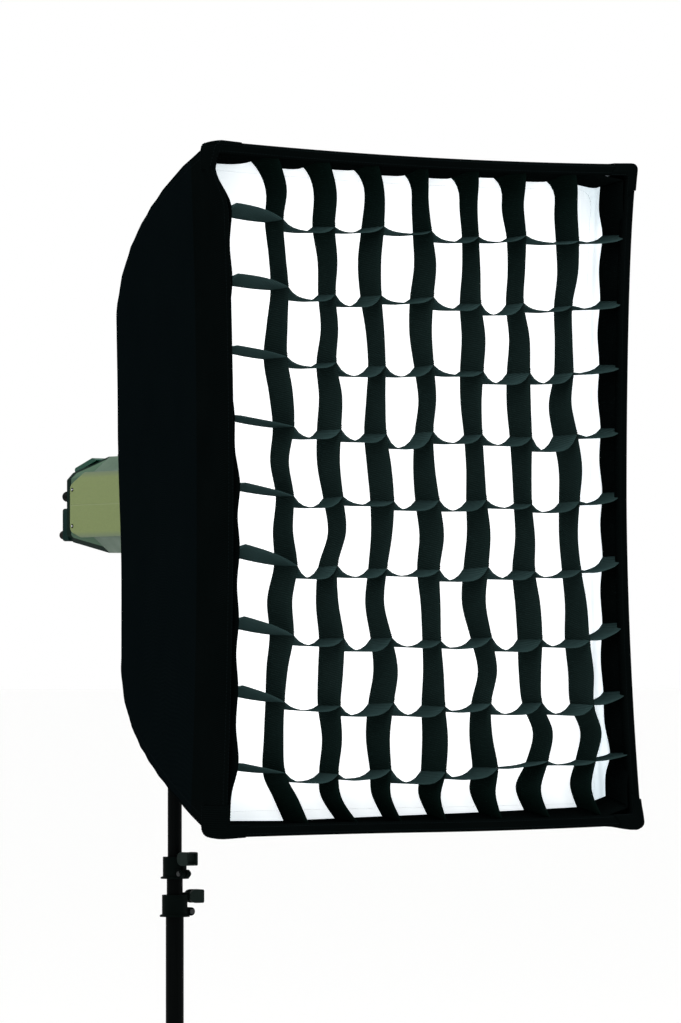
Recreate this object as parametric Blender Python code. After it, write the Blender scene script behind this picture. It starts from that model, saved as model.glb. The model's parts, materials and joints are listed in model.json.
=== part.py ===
"""Studio strobe head with a gridded softbox, on a folding three-leg stand.

Metres, +Z up, the light faces -Y. The column of the stand is vertical; every
moving piece hangs from an empty that sits on its joint axis.
"""

import math

import bmesh
import bpy
from mathutils import Matrix, Vector

# Softbox
SOFTBOX_WIDTH = 0.75
SOFTBOX_HEIGHT = 1.00
SHELL_DEPTH = 0.580
SHELL_BEHIND = 0.0031
SHELL_WALL = 0.002
EDGE_DRAW = 0.0125
CORNER_RADIUS = 0.010
LIP_STRAIGHT = 0.030
HEM_WIDTH = 0.018
ROD_RADIUS = 0.0025
BAFFLE_SETBACK = 0.322
BAFFLE_THICKNESS = 0.001
DIFFUSER_SETBACK = 0.030
DIFFUSER_THICKNESS = 0.0015
GRID_COLUMNS = 8
GRID_ROWS = 10
GRID_DEPTH = 0.045
GRID_WALL = 0.0022
GRID_WAVE = 0.007
GRID_SAG = 0.011
SPEEDRING_PROUD = 0.0185
SPEEDRING_LENGTH = 0.0165

# Strobe head
HEAD_HALF_WIDTH = 0.0625
HEAD_HALF_HEIGHT = 0.0755
HEAD_CUT_WIDTH = 0.030
HEAD_CUT_HEIGHT = 0.0245
HEAD_FRONT = 0.080
HOUSING_BACK = 0.135
HOUSING_WALL = 0.0025
CAP_LENGTH = 0.0815
CAP_LAND = 0.0027
CAP_TOP = 0.052
CAP_BOTTOM = 0.058
CAP_SIDE_DRAFT = 0.0025
CAP_WALL = 0.0085
PANEL_THICKNESS = 0.0025
PANEL_INSET = 0.0175
HANDLE_THICKNESS = 0.0075
HANDLE_HALF_WIDTH = 0.042
NOTCH_HALF_WIDTH = 0.030
NOTCH_LENGTH = 0.036
MOUNT_BORE = 0.046
MOUNT_WALL = 0.0145
MOUNT_LENGTH = 0.020
BULKHEAD = 0.004
FAN_PLACE = 0.030
CAPACITOR_RADIUS = 0.030

# Rear controls
CONTROL_TOP = 0.026
CONTROL_BOTTOM = -0.004
CONTROL_THICKNESS = 0.003
DIAL_RADIUS = 0.0095
DIAL_HEIGHT = 0.022
DIAL_EDGE = 0.0165
DIAL_RISE = 0.0145
BUTTON_RADIUS = 0.0038
BUTTON_STANDING = 0.003
BUTTON_SPREAD = 0.012
BUTTON_RISE = 0.0125
POWER_BLOCK_PROUD = 0.016
POWER_MARGIN = 0.002
INLET_OFFSET = -0.006
INLET_WIDTH = 0.0270
INLET_HEIGHT = 0.0196
INLET_DEPTH = 0.020
SWITCH_EDGE = 0.0265
SWITCH_WIDTH = 0.014
SWITCH_HEIGHT = 0.021
SWITCH_TILT = math.radians(7)
FUSE_EDGE = 0.0155
FUSE_RISE = 0.010

# Tilt bracket
TILT_RISE = 0.030
ARM_RISE = 0.0345
SOCKET_RADIUS = 0.0175
SOCKET_ROOF = 0.010
SCREW_RISE = 0.023
CLEVIS_SLOT = 0.020
CLEVIS_PROUD = 0.0005
CHEEK_RADIUS = 0.0135

# Stand
LOWER_RADIUS = 0.014
TUBE_WALL = 0.0012
LOWER_LENGTH = 0.869
MIDDLE_SHORTER = 0.069
MIDDLE_REACH = 0.059
UPPER_LENGTH = 0.800
UPPER_REACH = 0.372
STUD_RADIUS = 0.008
STUD_HEIGHT = 0.040
STUD_FLANGE = 0.004
NECK_RISE = 0.014
CLAMP_HEIGHT = 0.034
CLAMP_GRIP = 0.016
CLAMP_WALL = 0.006
CLAMP_FLANGE = 0.0095
EAR_WIDTH = 0.017
LEVER_CAM = 0.0105
LEVER_LENGTH = 0.0145
LEVER_WIDTH = 0.022
LEVER_EAR = 0.0115
LEVER_DROP = 0.0025
PIN_RADIUS = 0.002
LEG_LENGTH = 0.74
LEG_SPREAD = math.radians(47.912)
LEG_RADIUS = 0.010
PIVOT_OFFSET = 0.020
PIVOT_PIN = 0.0025
TONGUE_WIDTH = 0.0100
LUG_WALL = 0.0041
BASE_PIVOT_HEIGHT = 0.098
BASE_SEAT_DEPTH = 0.0128
BRACE_BAR = 0.003
BRACE_WIDTH = 0.014
FOOT_TIP_HEIGHT = 0.004
LEG_AZIMUTHS = {"front": -90, "right": 30, "left": 150}

# Gaps between pieces that touch on the real object
SEAT = 0.0003
RUNNING = 0.0005
PIN_PLAY = 0.0004
TONGUE_PLAY = 0.0008
FORK_PLAY = 0.0015

# Facets of round pieces
COARSE = 12
MEDIUM = 16
FINE = 20
SMOOTH = 48

# Stand sizes that follow from the ones above
MIDDLE_RADIUS = LOWER_RADIUS - TUBE_WALL - SEAT
UPPER_RADIUS = MIDDLE_RADIUS - TUBE_WALL - SEAT
MIDDLE_LENGTH = LOWER_LENGTH - MIDDLE_SHORTER
LOWER_BOTTOM = BASE_PIVOT_HEIGHT - BASE_SEAT_DEPTH
LOWER_TOP = LOWER_BOTTOM + LOWER_LENGTH
CROWN_PIVOT_HEIGHT = FOOT_TIP_HEIGHT + LEG_LENGTH * math.cos(LEG_SPREAD)
BRACE_LENGTH = (CROWN_PIVOT_HEIGHT - BASE_PIVOT_HEIGHT) / (2 * math.cos(LEG_SPREAD))
PIVOT_RADIUS = LOWER_RADIUS + PIVOT_OFFSET
LUG_SLOT = TONGUE_WIDTH + TONGUE_PLAY
LUG_WIDTH = LUG_SLOT + 2 * LUG_WALL
BRACE_GAP = 2 * LEG_RADIUS + FORK_PLAY
LEVER_HEIGHT = CLAMP_HEIGHT - LEVER_DROP

# Bracket sizes that follow
SOCKET_HEIGHT = STUD_HEIGHT + SOCKET_ROOF
HALF_CLEVIS = SOCKET_RADIUS + CLEVIS_PROUD
HEAD_AXIS_RISE = HEAD_HALF_HEIGHT + ARM_RISE

# Head sizes that follow; distances are in front of the column, or behind it for the rear pieces
HEAD_FLAT = HEAD_HALF_WIDTH - HEAD_CUT_WIDTH
CAP_START = HOUSING_BACK + SEAT
CAP_SLOPE_START = CAP_START + CAP_LAND
CAP_BACK = HOUSING_BACK + CAP_LENGTH
PANEL_BACK = CAP_BACK - PANEL_INSET
PLATE_BACK = CAP_BACK + SEAT
CAVITY_HALF_WIDTH = HEAD_HALF_WIDTH - CAP_SIDE_DRAFT - CAP_WALL
CAVITY_TOP = CONTROL_TOP - 0.006
CAVITY_BOTTOM = CAP_BOTTOM - 0.010
POWER_TOP = CONTROL_BOTTOM - RUNNING
POWER_BOTTOM = POWER_MARGIN - CAP_BOTTOM
POWER_MIDDLE = (POWER_TOP + POWER_BOTTOM) / 2
DIAL_SPREAD = HEAD_HALF_WIDTH - DIAL_EDGE
DIAL_PLACES = {"power_dial": (-DIAL_SPREAD, DIAL_RISE), "lamp_dial": (DIAL_SPREAD, DIAL_RISE)}
BUTTON_PLACES = {"test_button": (-BUTTON_SPREAD, BUTTON_RISE), "slave_button": (BUTTON_SPREAD, BUTTON_RISE)}
INLET_PLACE = (INLET_OFFSET, POWER_MIDDLE)
SWITCH_PLACE = (HEAD_HALF_WIDTH - SWITCH_EDGE, POWER_MIDDLE)
FUSE_PLACE = (FUSE_EDGE - HEAD_HALF_WIDTH, POWER_BOTTOM + FUSE_RISE)
MOUNT_RADIUS = MOUNT_BORE + MOUNT_WALL
RING_START = HEAD_FRONT + SEAT + BULKHEAD
RING_END = RING_START + MOUNT_LENGTH
FAN_HALF = HEAD_FLAT - 0.005

# Softbox sizes that follow
ADAPTER_START = RING_END + SEAT
SPEEDRING_START = ADAPTER_START + RUNNING
SPEEDRING_RADIUS = MOUNT_RADIUS + SPEEDRING_PROUD
ADAPTER_FLANGE = SPEEDRING_START + SPEEDRING_LENGTH + RUNNING
ROD_ROOT = SPEEDRING_START + SPEEDRING_LENGTH / 2
ROD_SEAT = 0.70 * SPEEDRING_RADIUS
ROD_INSET = ROD_RADIUS + SHELL_WALL + 0.35 * CORNER_RADIUS
SHELL_SEAT = MOUNT_RADIUS + 0.0015
SHELL_START = SPEEDRING_START - SHELL_BEHIND
FRONT_REACH = SHELL_START + SHELL_DEPTH
BAFFLE_REACH = FRONT_REACH - BAFFLE_SETBACK
DIFFUSER_REACH = FRONT_REACH - GRID_DEPTH - DIFFUSER_SETBACK
GRID_FRONT = FRONT_REACH - SHELL_WALL - 0.001
GRID_BACK = GRID_FRONT - GRID_DEPTH
GRID_CORNER_TUCK = 2 * ROD_INSET
CORNER_SIGNS = {"top_right": (1, 1), "top_left": (-1, 1), "bottom_left": (-1, -1), "bottom_right": (1, -1)}

# Each quarter of a section: signs of its corner, and the way its next side runs
QUARTERS = (((1, 1), (-1, 0)), ((-1, 1), (0, -1)), ((-1, -1), (1, 0)), ((1, -1), (0, 1)))

# Ways of laying a flat drawing: columns are where drawing X, Y and Z go
FACING_FRONT = Matrix.Rotation(math.pi / 2, 4, "X")
FROM_SIDE = Matrix(((0, 0, 1, 0), (1, 0, 0, 0), (0, 1, 0, 0), (0, 0, 0, 1)))
ALONG_X = Matrix.Rotation(math.pi / 2, 4, "Y")
ALONG_Y = Matrix.Rotation(-math.pi / 2, 4, "X")
FACING_BACK = ALONG_Y
UPRIGHT = Matrix.Identity(4)

finishes = {}
pieces = {}
bodies = {}


def clear_scene():
    """Start from an empty scene."""
    for thing in list(bpy.data.objects):
        bpy.data.objects.remove(thing, do_unlink=True)


def add_finish(name, colour, roughness, metallic=0.0):
    """A plain surface finish; colour is sRGB from 0 to 255."""
    finish = bpy.data.materials.new(name)
    finish.use_nodes = True
    shader = finish.node_tree.nodes["Principled BSDF"]
    linear = [(channel / 255) ** 2.2 for channel in colour]
    shader.inputs["Base Color"].default_value = (*linear, 1.0)
    shader.inputs["Roughness"].default_value = roughness
    shader.inputs["Metallic"].default_value = metallic
    finishes[name] = finish


def add_finishes():
    """One finish for each kind of surface."""
    add_finish("black_nylon", (14, 16, 17), 0.85)
    add_finish("grid_nylon", (24, 30, 31), 0.85)
    add_finish("white_nylon", (248, 250, 252), 0.7)
    add_finish("spring_steel", (120, 122, 124), 0.35, 1.0)
    add_finish("black_casting", (26, 28, 28), 0.5)
    add_finish("black_tube", (10, 11, 11), 0.35)
    add_finish("clamp_plastic", (27, 31, 30), 0.55)
    add_finish("knob_plastic", (20, 22, 22), 0.5)
    add_finish("bright_steel", (168, 170, 172), 0.3, 1.0)
    add_finish("champagne_paint", (124, 141, 97), 0.4)
    add_finish("grey_paint", (98, 114, 98), 0.45)
    add_finish("dark_plastic", (35, 42, 38), 0.5)
    add_finish("teal_plastic", (48, 80, 71), 0.35)
    add_finish("block_plastic", (28, 42, 41), 0.5)
    add_finish("rubber", (18, 18, 18), 0.9)
    add_finish("reflector_metal", (212, 214, 216), 0.15, 1.0)
    add_finish("lamp_glass", (238, 240, 240), 0.1)
    add_finish("sensor_plastic", (60, 14, 16), 0.15)
    add_finish("board_laminate", (34, 84, 52), 0.5)
    add_finish("capacitor_sleeve", (40, 52, 96), 0.4)
    add_finish("fan_plastic", (22, 22, 24), 0.5)


def add_body(name, parent, place, turn=UPRIGHT):
    """An empty that carries the pieces of one body."""
    body = bpy.data.objects.new(name, None)
    bpy.context.scene.collection.objects.link(body)
    body.parent = bodies[parent] if parent else None
    body.matrix_basis = Matrix.Translation(place) @ turn
    bodies[name] = body
    return body


def link_mesh(name, shape, body, place, turn):
    """Turn a bmesh into an object that hangs from a body."""
    mesh = bpy.data.meshes.new(name)
    shape.to_mesh(mesh)
    shape.free()
    thing = bpy.data.objects.new(name, mesh)
    bpy.context.scene.collection.objects.link(thing)
    thing.parent = bodies[body]
    thing.matrix_basis = Matrix.Translation(place) @ turn
    return thing


def add_piece(name, shape, finish, body, place=(0, 0, 0), turn=UPRIGHT, smooth=35):
    """A named piece with its finish, smooth up to the given edge angle."""
    piece = link_mesh(name, shape, body, place, turn)
    piece.data.materials.append(finishes[finish])
    piece.data.shade_smooth()
    piece.data.set_sharp_from_angle(angle=math.radians(smooth))
    pieces[name] = piece
    return piece


def shape_with(piece, operation, shape, body, place=(0, 0, 0), turn=UPRIGHT):
    """Join a hidden helper shape to a piece, or cut it away."""
    helper = link_mesh(f"{piece.name}_{operation.lower()}_{len(piece.modifiers)}", shape, body, place, turn)
    helper.hide_render = True
    helper.display_type = "WIRE"
    step = piece.modifiers.new(operation.title(), "BOOLEAN")
    step.operation = operation
    step.object = helper
    step.solver = "EXACT"


def cut(piece, shape, body, place=(0, 0, 0), turn=UPRIGHT):
    """Take a shape away from a piece."""
    shape_with(piece, "DIFFERENCE", shape, body, place, turn)


def join(piece, shape, body, place=(0, 0, 0), turn=UPRIGHT):
    """Fuse a shape to a piece."""
    shape_with(piece, "UNION", shape, body, place, turn)


def close_up(shape):
    """Weld seams and face every side outward."""
    bmesh.ops.remove_doubles(shape, verts=shape.verts, dist=1e-6)
    bmesh.ops.recalc_face_normals(shape, faces=shape.faces)
    return shape


def turned(profile, steps=FINE):
    """A closed (radius, height) outline spun about Z."""
    shape = bmesh.new()
    corners = [shape.verts.new((radius, 0, height)) for radius, height in profile]
    edges = []
    for index, corner in enumerate(corners):
        following = corners[(index + 1) % len(corners)]
        if corner.co.x > 0 or following.co.x > 0:
            edges.append(shape.edges.new((corner, following)))
    bmesh.ops.spin(
        shape, geom=corners + edges, cent=(0, 0, 0), axis=(0, 0, 1), angle=2 * math.pi, steps=steps,
        use_merge=True,
    )
    return close_up(shape)


def rod_shape(radius, low, high, steps=MEDIUM):
    """A plain round bar along Z."""
    return turned([(0, low), (radius, low), (radius, high), (0, high)], steps)


def pipe_shape(inside, outside, low, high, steps=FINE):
    """A plain tube along Z."""
    return turned([(inside, low), (outside, low), (outside, high), (inside, high)], steps)


def prism(outline, low, high):
    """A flat outline drawn up along Z."""
    shape = bmesh.new()
    face = shape.faces.new([shape.verts.new((x, y, low)) for x, y in outline])
    drawn = bmesh.ops.extrude_face_region(shape, geom=[face])
    moved = [item for item in drawn["geom"] if isinstance(item, bmesh.types.BMVert)]
    bmesh.ops.translate(shape, vec=(0, 0, high - low), verts=moved)
    return close_up(shape)


def block(low, high):
    """A box between two opposite corners."""
    outline = [(low[0], low[1]), (high[0], low[1]), (high[0], high[1]), (low[0], high[1])]
    return prism(outline, low[2], high[2])


def together(shapes):
    """Several separate shapes in one helper mesh, each with its own placement."""
    whole = bmesh.new()
    for shape, placement in shapes:
        shape.transform(placement)
        mesh = bpy.data.meshes.new("helper")
        shape.to_mesh(mesh)
        shape.free()
        whole.from_mesh(mesh)
        bpy.data.meshes.remove(mesh)
    return whole


def skin(rings, capped):
    """Skin a list of equal rings; uncapped rings close on themselves like a tyre."""
    shape = bmesh.new()
    rows = [[shape.verts.new(point) for point in ring] for ring in rings]
    count = len(rows[0])
    last = len(rows) - 1 if capped else len(rows)
    for row in range(last):
        near, far = rows[row], rows[(row + 1) % len(rows)]
        for index in range(count):
            following = (index + 1) % count
            shape.faces.new((near[index], near[following], far[following], far[index]))
    if capped:
        shape.faces.new(rows[0])
        shape.faces.new(rows[-1])
    return close_up(shape)


def rounded(corners, radii, steps=3):
    """A polygon with its corners rounded; one radius for all, or one for each."""
    if not isinstance(radii, (list, tuple)):
        radii = [radii] * len(corners)
    outline = []
    for index, corner in enumerate(corners):
        here = Vector(corner)
        before = Vector(corners[index - 1]) - here
        after = Vector(corners[(index + 1) % len(corners)]) - here
        half = before.angle(after) / 2
        radius = radii[index]
        if radius <= 0:
            outline.append(tuple(here))
            continue
        reach = radius / math.tan(half)
        start = here + before.normalized() * reach
        centre = here + (before.normalized() + after.normalized()).normalized() * radius / math.sin(half)
        sweep = (start - centre).angle_signed(here + after.normalized() * reach - centre)
        for step in range(steps + 1):
            spoke = (start - centre).copy()
            spoke.rotate(Matrix.Rotation(-sweep * step / steps, 2))
            outline.append(tuple(centre + spoke))
    return outline


def rectangle(left, bottom, right, top):
    """Corners of an upright rectangle."""
    return [(left, bottom), (right, bottom), (right, top), (left, top)]


def lobed(radius, dip, lobes, points=4):
    """A round outline with finger hollows."""
    outline = []
    for index in range(lobes * points):
        angle = 2 * math.pi * index / (lobes * points)
        reach = radius - dip * (1 - math.cos(lobes * angle)) / 2
        outline.append((reach * math.cos(angle), reach * math.sin(angle)))
    return outline


def eased(start, pull_start, pull_end, end, share):
    """A point on a cubic curve."""
    rest = 1 - share
    weights = (rest**3, 3 * rest**2 * share, 3 * rest * share**2, share**3)
    points = (start, pull_start, pull_end, end)
    return sum((Vector(point) * weight for point, weight in zip(points, weights)), Vector((0,) * len(start)))


def around(degrees):
    """Turn about the column."""
    return Matrix.Rotation(math.radians(degrees), 4, "Z")


def build_bodies():
    """Every body of the assembly, each on its joint axis."""
    add_body("floor_centre", None, (0, 0, 0))
    add_body("stand", "floor_centre", (0, 0, 0))
    add_body("crown", "stand", (0, 0, CROWN_PIVOT_HEIGHT))
    add_body("crown_knob_turn", "crown", (0, 0, 0.018), around(90))
    for side, azimuth in LEG_AZIMUTHS.items():
        lean = Matrix.Rotation(LEG_SPREAD, 4, "Y")
        crown_place = around(azimuth) @ Vector((PIVOT_RADIUS, 0, 0))
        add_body(f"leg_swing_{side}", "crown", crown_place, around(azimuth) @ lean.inverted())
        base_place = crown_place + Vector((0, 0, BASE_PIVOT_HEIGHT))
        add_body(f"brace_swing_{side}", "stand", base_place, around(azimuth) @ lean)
    add_body("middle", "stand", (0, 0, LOWER_TOP))
    add_body("upper", "middle", (0, 0, MIDDLE_REACH))
    add_clamp_bodies("lower", "stand", LOWER_TOP, LOWER_RADIUS, -6)
    add_clamp_bodies("upper", "middle", MIDDLE_REACH, MIDDLE_RADIUS, -86)
    add_body("pan", "upper", (0, 0, UPPER_REACH + STUD_FLANGE + 2 * SEAT))
    add_body("socket_screw_turn", "pan", (0, 0, SCREW_RISE))
    add_body("tilt_handle_turn", "pan", (0, 0, SOCKET_HEIGHT + TILT_RISE))
    add_body("head", "pan", (0, 0, SOCKET_HEIGHT + TILT_RISE))
    add_body("optics", "head", (0, 0, HEAD_AXIS_RISE))
    add_body("softbox", "optics", (0, 0, 0))
    add_body("latch_slide", "optics", (0, -RING_START, MOUNT_RADIUS))


def clamp_pin_reach(radius):
    """Distance from the column to the pin of a clamp lever."""
    return radius + CLAMP_WALL + LEVER_CAM + 0.001


def add_clamp_bodies(which, carrier, tube_top, radius, facing):
    """The place of a clamp and the pin of its lever."""
    add_body(f"{which}_clamp", carrier, (0, 0, tube_top - CLAMP_GRIP), around(facing))
    add_body(f"{which}_lever_turn", f"{which}_clamp", (clamp_pin_reach(radius), 0, LEVER_HEIGHT))


def build_clamp(which, radius, inner_radius):
    """A split collar with a bolted ear, and a boxed lever on a cross pin."""
    frame = f"{which}_clamp"
    bore = radius + SEAT
    upper_bore = inner_radius + SEAT
    wall = radius + CLAMP_WALL
    flange = radius + CLAMP_FLANGE
    ledge = CLAMP_GRIP + SEAT
    profile = [
        (bore, 0), (flange, 0), (flange, 0.0025), (wall, 0.004), (wall, CLAMP_HEIGHT),
        (upper_bore, CLAMP_HEIGHT), (upper_bore, ledge), (bore, ledge),
    ]
    collar = add_piece(f"{which}_clamp_collar", turned(profile), "clamp_plastic", frame)
    bolt_reach = wall + 0.0045
    ear_end = wall + 0.0110
    ear = rounded(rectangle(bore + 0.001, 0.0015, ear_end, CLAMP_GRIP - 0.0015), [0, 0.006, 0.006, 0])
    join(collar, prism(ear, -EAR_WIDTH / 2, EAR_WIDTH / 2), frame, turn=FACING_FRONT)
    pin_reach = clamp_pin_reach(radius)
    lug = rectangle(upper_bore + 0.001, LEVER_HEIGHT - 0.006, pin_reach + 0.006, LEVER_HEIGHT + 0.006)
    lug = rounded(lug, [0, 0.0055, 0.0055, 0])
    join(collar, prism(lug, -LEVER_EAR / 2, LEVER_EAR / 2), frame, turn=FACING_FRONT)
    slit = block((bore * 0.5, -0.0015, -0.01), (pin_reach + 0.02, 0.0015, CLAMP_HEIGHT + 0.01))
    cut(collar, slit, frame)
    bolt_height = CLAMP_GRIP / 2
    hole = rod_shape(PIN_RADIUS + PIN_PLAY, -0.02, 0.02, COARSE)
    cut(collar, hole, frame, (bolt_reach, 0, bolt_height), ALONG_Y)
    hole = rod_shape(PIN_RADIUS + PIN_PLAY, -0.02, 0.02, COARSE)
    cut(collar, hole, frame, (pin_reach, 0, LEVER_HEIGHT), ALONG_Y)
    near = EAR_WIDTH / 2 + SEAT
    bolt = turned([
        (0, -near - 0.003), (0.004, -near - 0.003), (0.004, -near), (PIN_RADIUS, -near),
        (PIN_RADIUS, near), (0.004, near), (0.004, near + 0.003), (0, near + 0.003),
    ], 6)
    add_piece(f"{which}_clamp_bolt", bolt, "bright_steel", frame, (bolt_reach, 0, bolt_height), ALONG_Y)
    build_lever(which)


def build_lever(which):
    """The boxed lever, hollow at its free end, with its pin."""
    frame = f"{which}_lever_turn"
    side = rectangle(-LEVER_CAM, -LEVER_CAM, LEVER_LENGTH, LEVER_CAM)
    outline = rounded(side, [LEVER_CAM * 0.97, 0.0025, 0.0025, LEVER_CAM * 0.97])
    lever = add_piece(
        f"{which}_clamp_lever", prism(outline, -LEVER_WIDTH / 2, LEVER_WIDTH / 2), "clamp_plastic", frame,
        turn=FACING_FRONT,
    )
    half_slot = LEVER_EAR / 2 + RUNNING
    slot_end = 0.007
    cut(lever, block((-0.02, -half_slot, -0.02), (slot_end, half_slot, 0.02)), frame)
    pocket_side = LEVER_WIDTH / 2 - 0.0025
    pocket_top = LEVER_CAM - 0.0025
    low = (slot_end + 0.0015, -pocket_side, -pocket_top)
    cut(lever, block(low, (LEVER_LENGTH + 0.01, pocket_side, pocket_top)), frame)
    join(lever, rod_shape(PIN_RADIUS, -half_slot - 0.001, half_slot + 0.001, COARSE), frame, turn=ALONG_Y)


def build_tubes():
    """Three nested tubes and the stud on top."""
    lower = pipe_shape(LOWER_RADIUS - TUBE_WALL, LOWER_RADIUS, LOWER_BOTTOM, LOWER_TOP)
    add_piece("lower_tube", lower, "black_tube", "stand")
    middle = pipe_shape(MIDDLE_RADIUS - TUBE_WALL, MIDDLE_RADIUS, MIDDLE_REACH - MIDDLE_LENGTH, MIDDLE_REACH)
    add_piece("middle_tube", middle, "black_tube", "middle")
    upper = pipe_shape(UPPER_RADIUS - TUBE_WALL, UPPER_RADIUS, UPPER_REACH - UPPER_LENGTH, UPPER_REACH)
    add_piece("upper_tube", upper, "black_tube", "upper")
    plug = UPPER_RADIUS - TUBE_WALL - SEAT
    foot = UPPER_REACH + SEAT
    flange_top = foot + STUD_FLANGE
    neck = flange_top + NECK_RISE
    stud_top = flange_top + STUD_HEIGHT
    profile = [
        (0, UPPER_REACH - 0.025), (plug, UPPER_REACH - 0.025), (plug, foot), (UPPER_RADIUS + 0.0015, foot),
        (UPPER_RADIUS + 0.0015, flange_top), (STUD_RADIUS, flange_top), (STUD_RADIUS, neck),
        (STUD_RADIUS - 0.0012, neck + 0.002), (STUD_RADIUS - 0.0012, neck + 0.010),
        (STUD_RADIUS, neck + 0.012),
        (STUD_RADIUS, stud_top - 0.001), (STUD_RADIUS - 0.001, stud_top), (0, stud_top),
    ]
    add_piece("spigot", turned(profile, MEDIUM), "bright_steel", "upper")


def lug_ring(shape_maker):
    """One helper shape repeated at the three leg directions."""
    return together([(shape_maker(), around(azimuth)) for azimuth in LEG_AZIMUTHS.values()])


def build_crown():
    """The sliding crown: a sleeve with three slotted lugs, pins and a knob boss."""
    low, high = -0.020, 0.032
    bore = LOWER_RADIUS + SEAT
    foot = LOWER_RADIUS + 0.0045
    outside = LOWER_RADIUS + 0.0065
    top = LOWER_RADIUS + 0.0035
    sleeve = [
        (bore, low), (foot, low), (outside, low + 0.003), (outside, high - 0.006), (top, high), (bore, high),
    ]
    crown = add_piece("leg_crown", turned(sleeve), "clamp_plastic", "crown")

    def lug():
        side = rectangle(LOWER_RADIUS + 0.0025, -0.013, PIVOT_RADIUS + 0.010, 0.011)
        side = rounded(side, [0, 0.007, 0.007, 0])
        shape = prism(side, -LUG_WIDTH / 2, LUG_WIDTH / 2)
        shape.transform(FACING_FRONT)
        return shape

    def slot():
        return block((outside + 0.002, -LUG_SLOT / 2, -0.05), (PIVOT_RADIUS + 0.05, LUG_SLOT / 2, 0.05))

    def pin():
        shape = rod_shape(PIVOT_PIN, -LUG_SLOT / 2 - 0.002, LUG_SLOT / 2 + 0.002, COARSE)
        shape.transform(Matrix.Translation((PIVOT_RADIUS, 0, 0)) @ ALONG_Y)
        return shape

    join(crown, lug_ring(lug), "crown")
    cut(crown, lug_ring(slot), "crown")
    join(crown, lug_ring(pin), "crown")
    boss_end = LOWER_RADIUS + 0.017
    join(crown, rod_shape(0.0085, top, boss_end), "crown_knob_turn", turn=ALONG_X)
    hole = rod_shape(0.0034, LOWER_RADIUS - 0.004, boss_end + 0.01, COARSE)
    cut(crown, hole, "crown_knob_turn", turn=ALONG_X)
    head = boss_end + RUNNING
    grip = prism(lobed(0.0175, 0.004, 6), head, head + 0.015)
    knob = add_piece("crown_knob", grip, "knob_plastic", "crown_knob_turn", turn=ALONG_X)
    shank = rod_shape(0.0029, LOWER_RADIUS + RUNNING, head + 0.004, COARSE)
    join(knob, shank, "crown_knob_turn", turn=ALONG_X)


def build_base():
    """The cup that closes the lower tube and holds the three braces."""
    pivot = BASE_PIVOT_HEIGHT
    bore = LOWER_RADIUS + SEAT
    floor = LOWER_BOTTOM - SEAT
    outside = LOWER_RADIUS + 0.0055
    cup = [
        (0, floor - 0.012), (outside - 0.0045, floor - 0.012), (outside, floor - 0.008),
        (outside, pivot + 0.020), (bore, pivot + 0.020), (bore, floor), (0, floor),
    ]
    base = add_piece("base_collar", turned(cup), "clamp_plastic", "stand")
    lug_half = BRACE_GAP / 2 - RUNNING

    def lug():
        side = rectangle(LOWER_RADIUS + 0.0025, pivot - 0.009, PIVOT_RADIUS + 0.009, pivot + 0.009)
        side = rounded(side, [0, 0.0085, 0.0085, 0])
        shape = prism(side, -lug_half, lug_half)
        shape.transform(FACING_FRONT)
        return shape

    def pin():
        reach = BRACE_GAP / 2 + BRACE_BAR + 0.0008
        shape = rod_shape(PIVOT_PIN, -reach, reach, COARSE)
        shape.transform(Matrix.Translation((PIVOT_RADIUS, 0, pivot)) @ ALONG_Y)
        return shape

    join(base, lug_ring(lug), "stand")
    join(base, lug_ring(pin), "stand")


def build_leg(side):
    """A tube with a flat tongue on top and a rubber foot, and its brace fork."""
    frame = f"leg_swing_{side}"
    tube_end = LEG_LENGTH - 0.010
    tube = pipe_shape(LEG_RADIUS - TUBE_WALL, LEG_RADIUS, -tube_end, -0.026, MEDIUM)
    leg = add_piece(f"leg_{side}", tube, "black_tube", frame)
    flat = rounded(rectangle(-0.0085, -0.036, 0.0085, 0.0085), [0.003, 0.003, 0.0082, 0.0082])
    join(leg, prism(flat, -TONGUE_WIDTH / 2, TONGUE_WIDTH / 2), frame, turn=FACING_FRONT)
    cut(leg, rod_shape(PIVOT_PIN + PIN_PLAY, -0.02, 0.02, COARSE), frame, turn=ALONG_Y)
    bore = LEG_RADIUS + SEAT
    outside = LEG_RADIUS + 0.0028
    foot = turned([
        (0, -LEG_LENGTH - 0.004), (outside - 0.004, -LEG_LENGTH - 0.004), (outside, -LEG_LENGTH),
        (outside, -tube_end + 0.022), (bore, -tube_end + 0.024), (bore, -tube_end - SEAT),
        (0, -tube_end - SEAT),
    ], MEDIUM)
    cap = add_piece(f"foot_{side}", foot, "rubber", frame)
    cut(cap, block((-2, -2, -0.5), (2, 2, 0)), "floor_centre")
    build_brace(side)


def build_brace(side):
    """Two flat bars joined by a tie, open at the leg end."""
    frame = f"brace_swing_{side}"
    half = BRACE_WIDTH / 2
    bar = rounded(rectangle(-half, -half, half, BRACE_LENGTH + half), half * 0.98)
    near = BRACE_GAP / 2
    first = add_piece(
        f"brace_{side}", prism(bar, near, near + BRACE_BAR), "black_tube", frame, turn=FACING_FRONT
    )
    join(first, prism(bar, -near - BRACE_BAR, -near), frame, turn=FACING_FRONT)
    tie = rod_shape(0.0045, -near - 0.001, near + 0.001, COARSE)
    join(first, tie, frame, (0, 0, BRACE_LENGTH * 0.42), ALONG_Y)
    cut(first, rod_shape(PIVOT_PIN + PIN_PLAY, -0.03, 0.03, COARSE), frame, turn=ALONG_Y)
    outer = near + BRACE_BAR
    rivets = [
        (rod_shape(0.0048, outer - 0.001, outer + 0.0014, COARSE), UPRIGHT),
        (rod_shape(0.0048, -outer - 0.0014, -outer + 0.001, COARSE), UPRIGHT),
    ]
    join(first, together(rivets), frame, (0, 0, BRACE_LENGTH), ALONG_Y)


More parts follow.
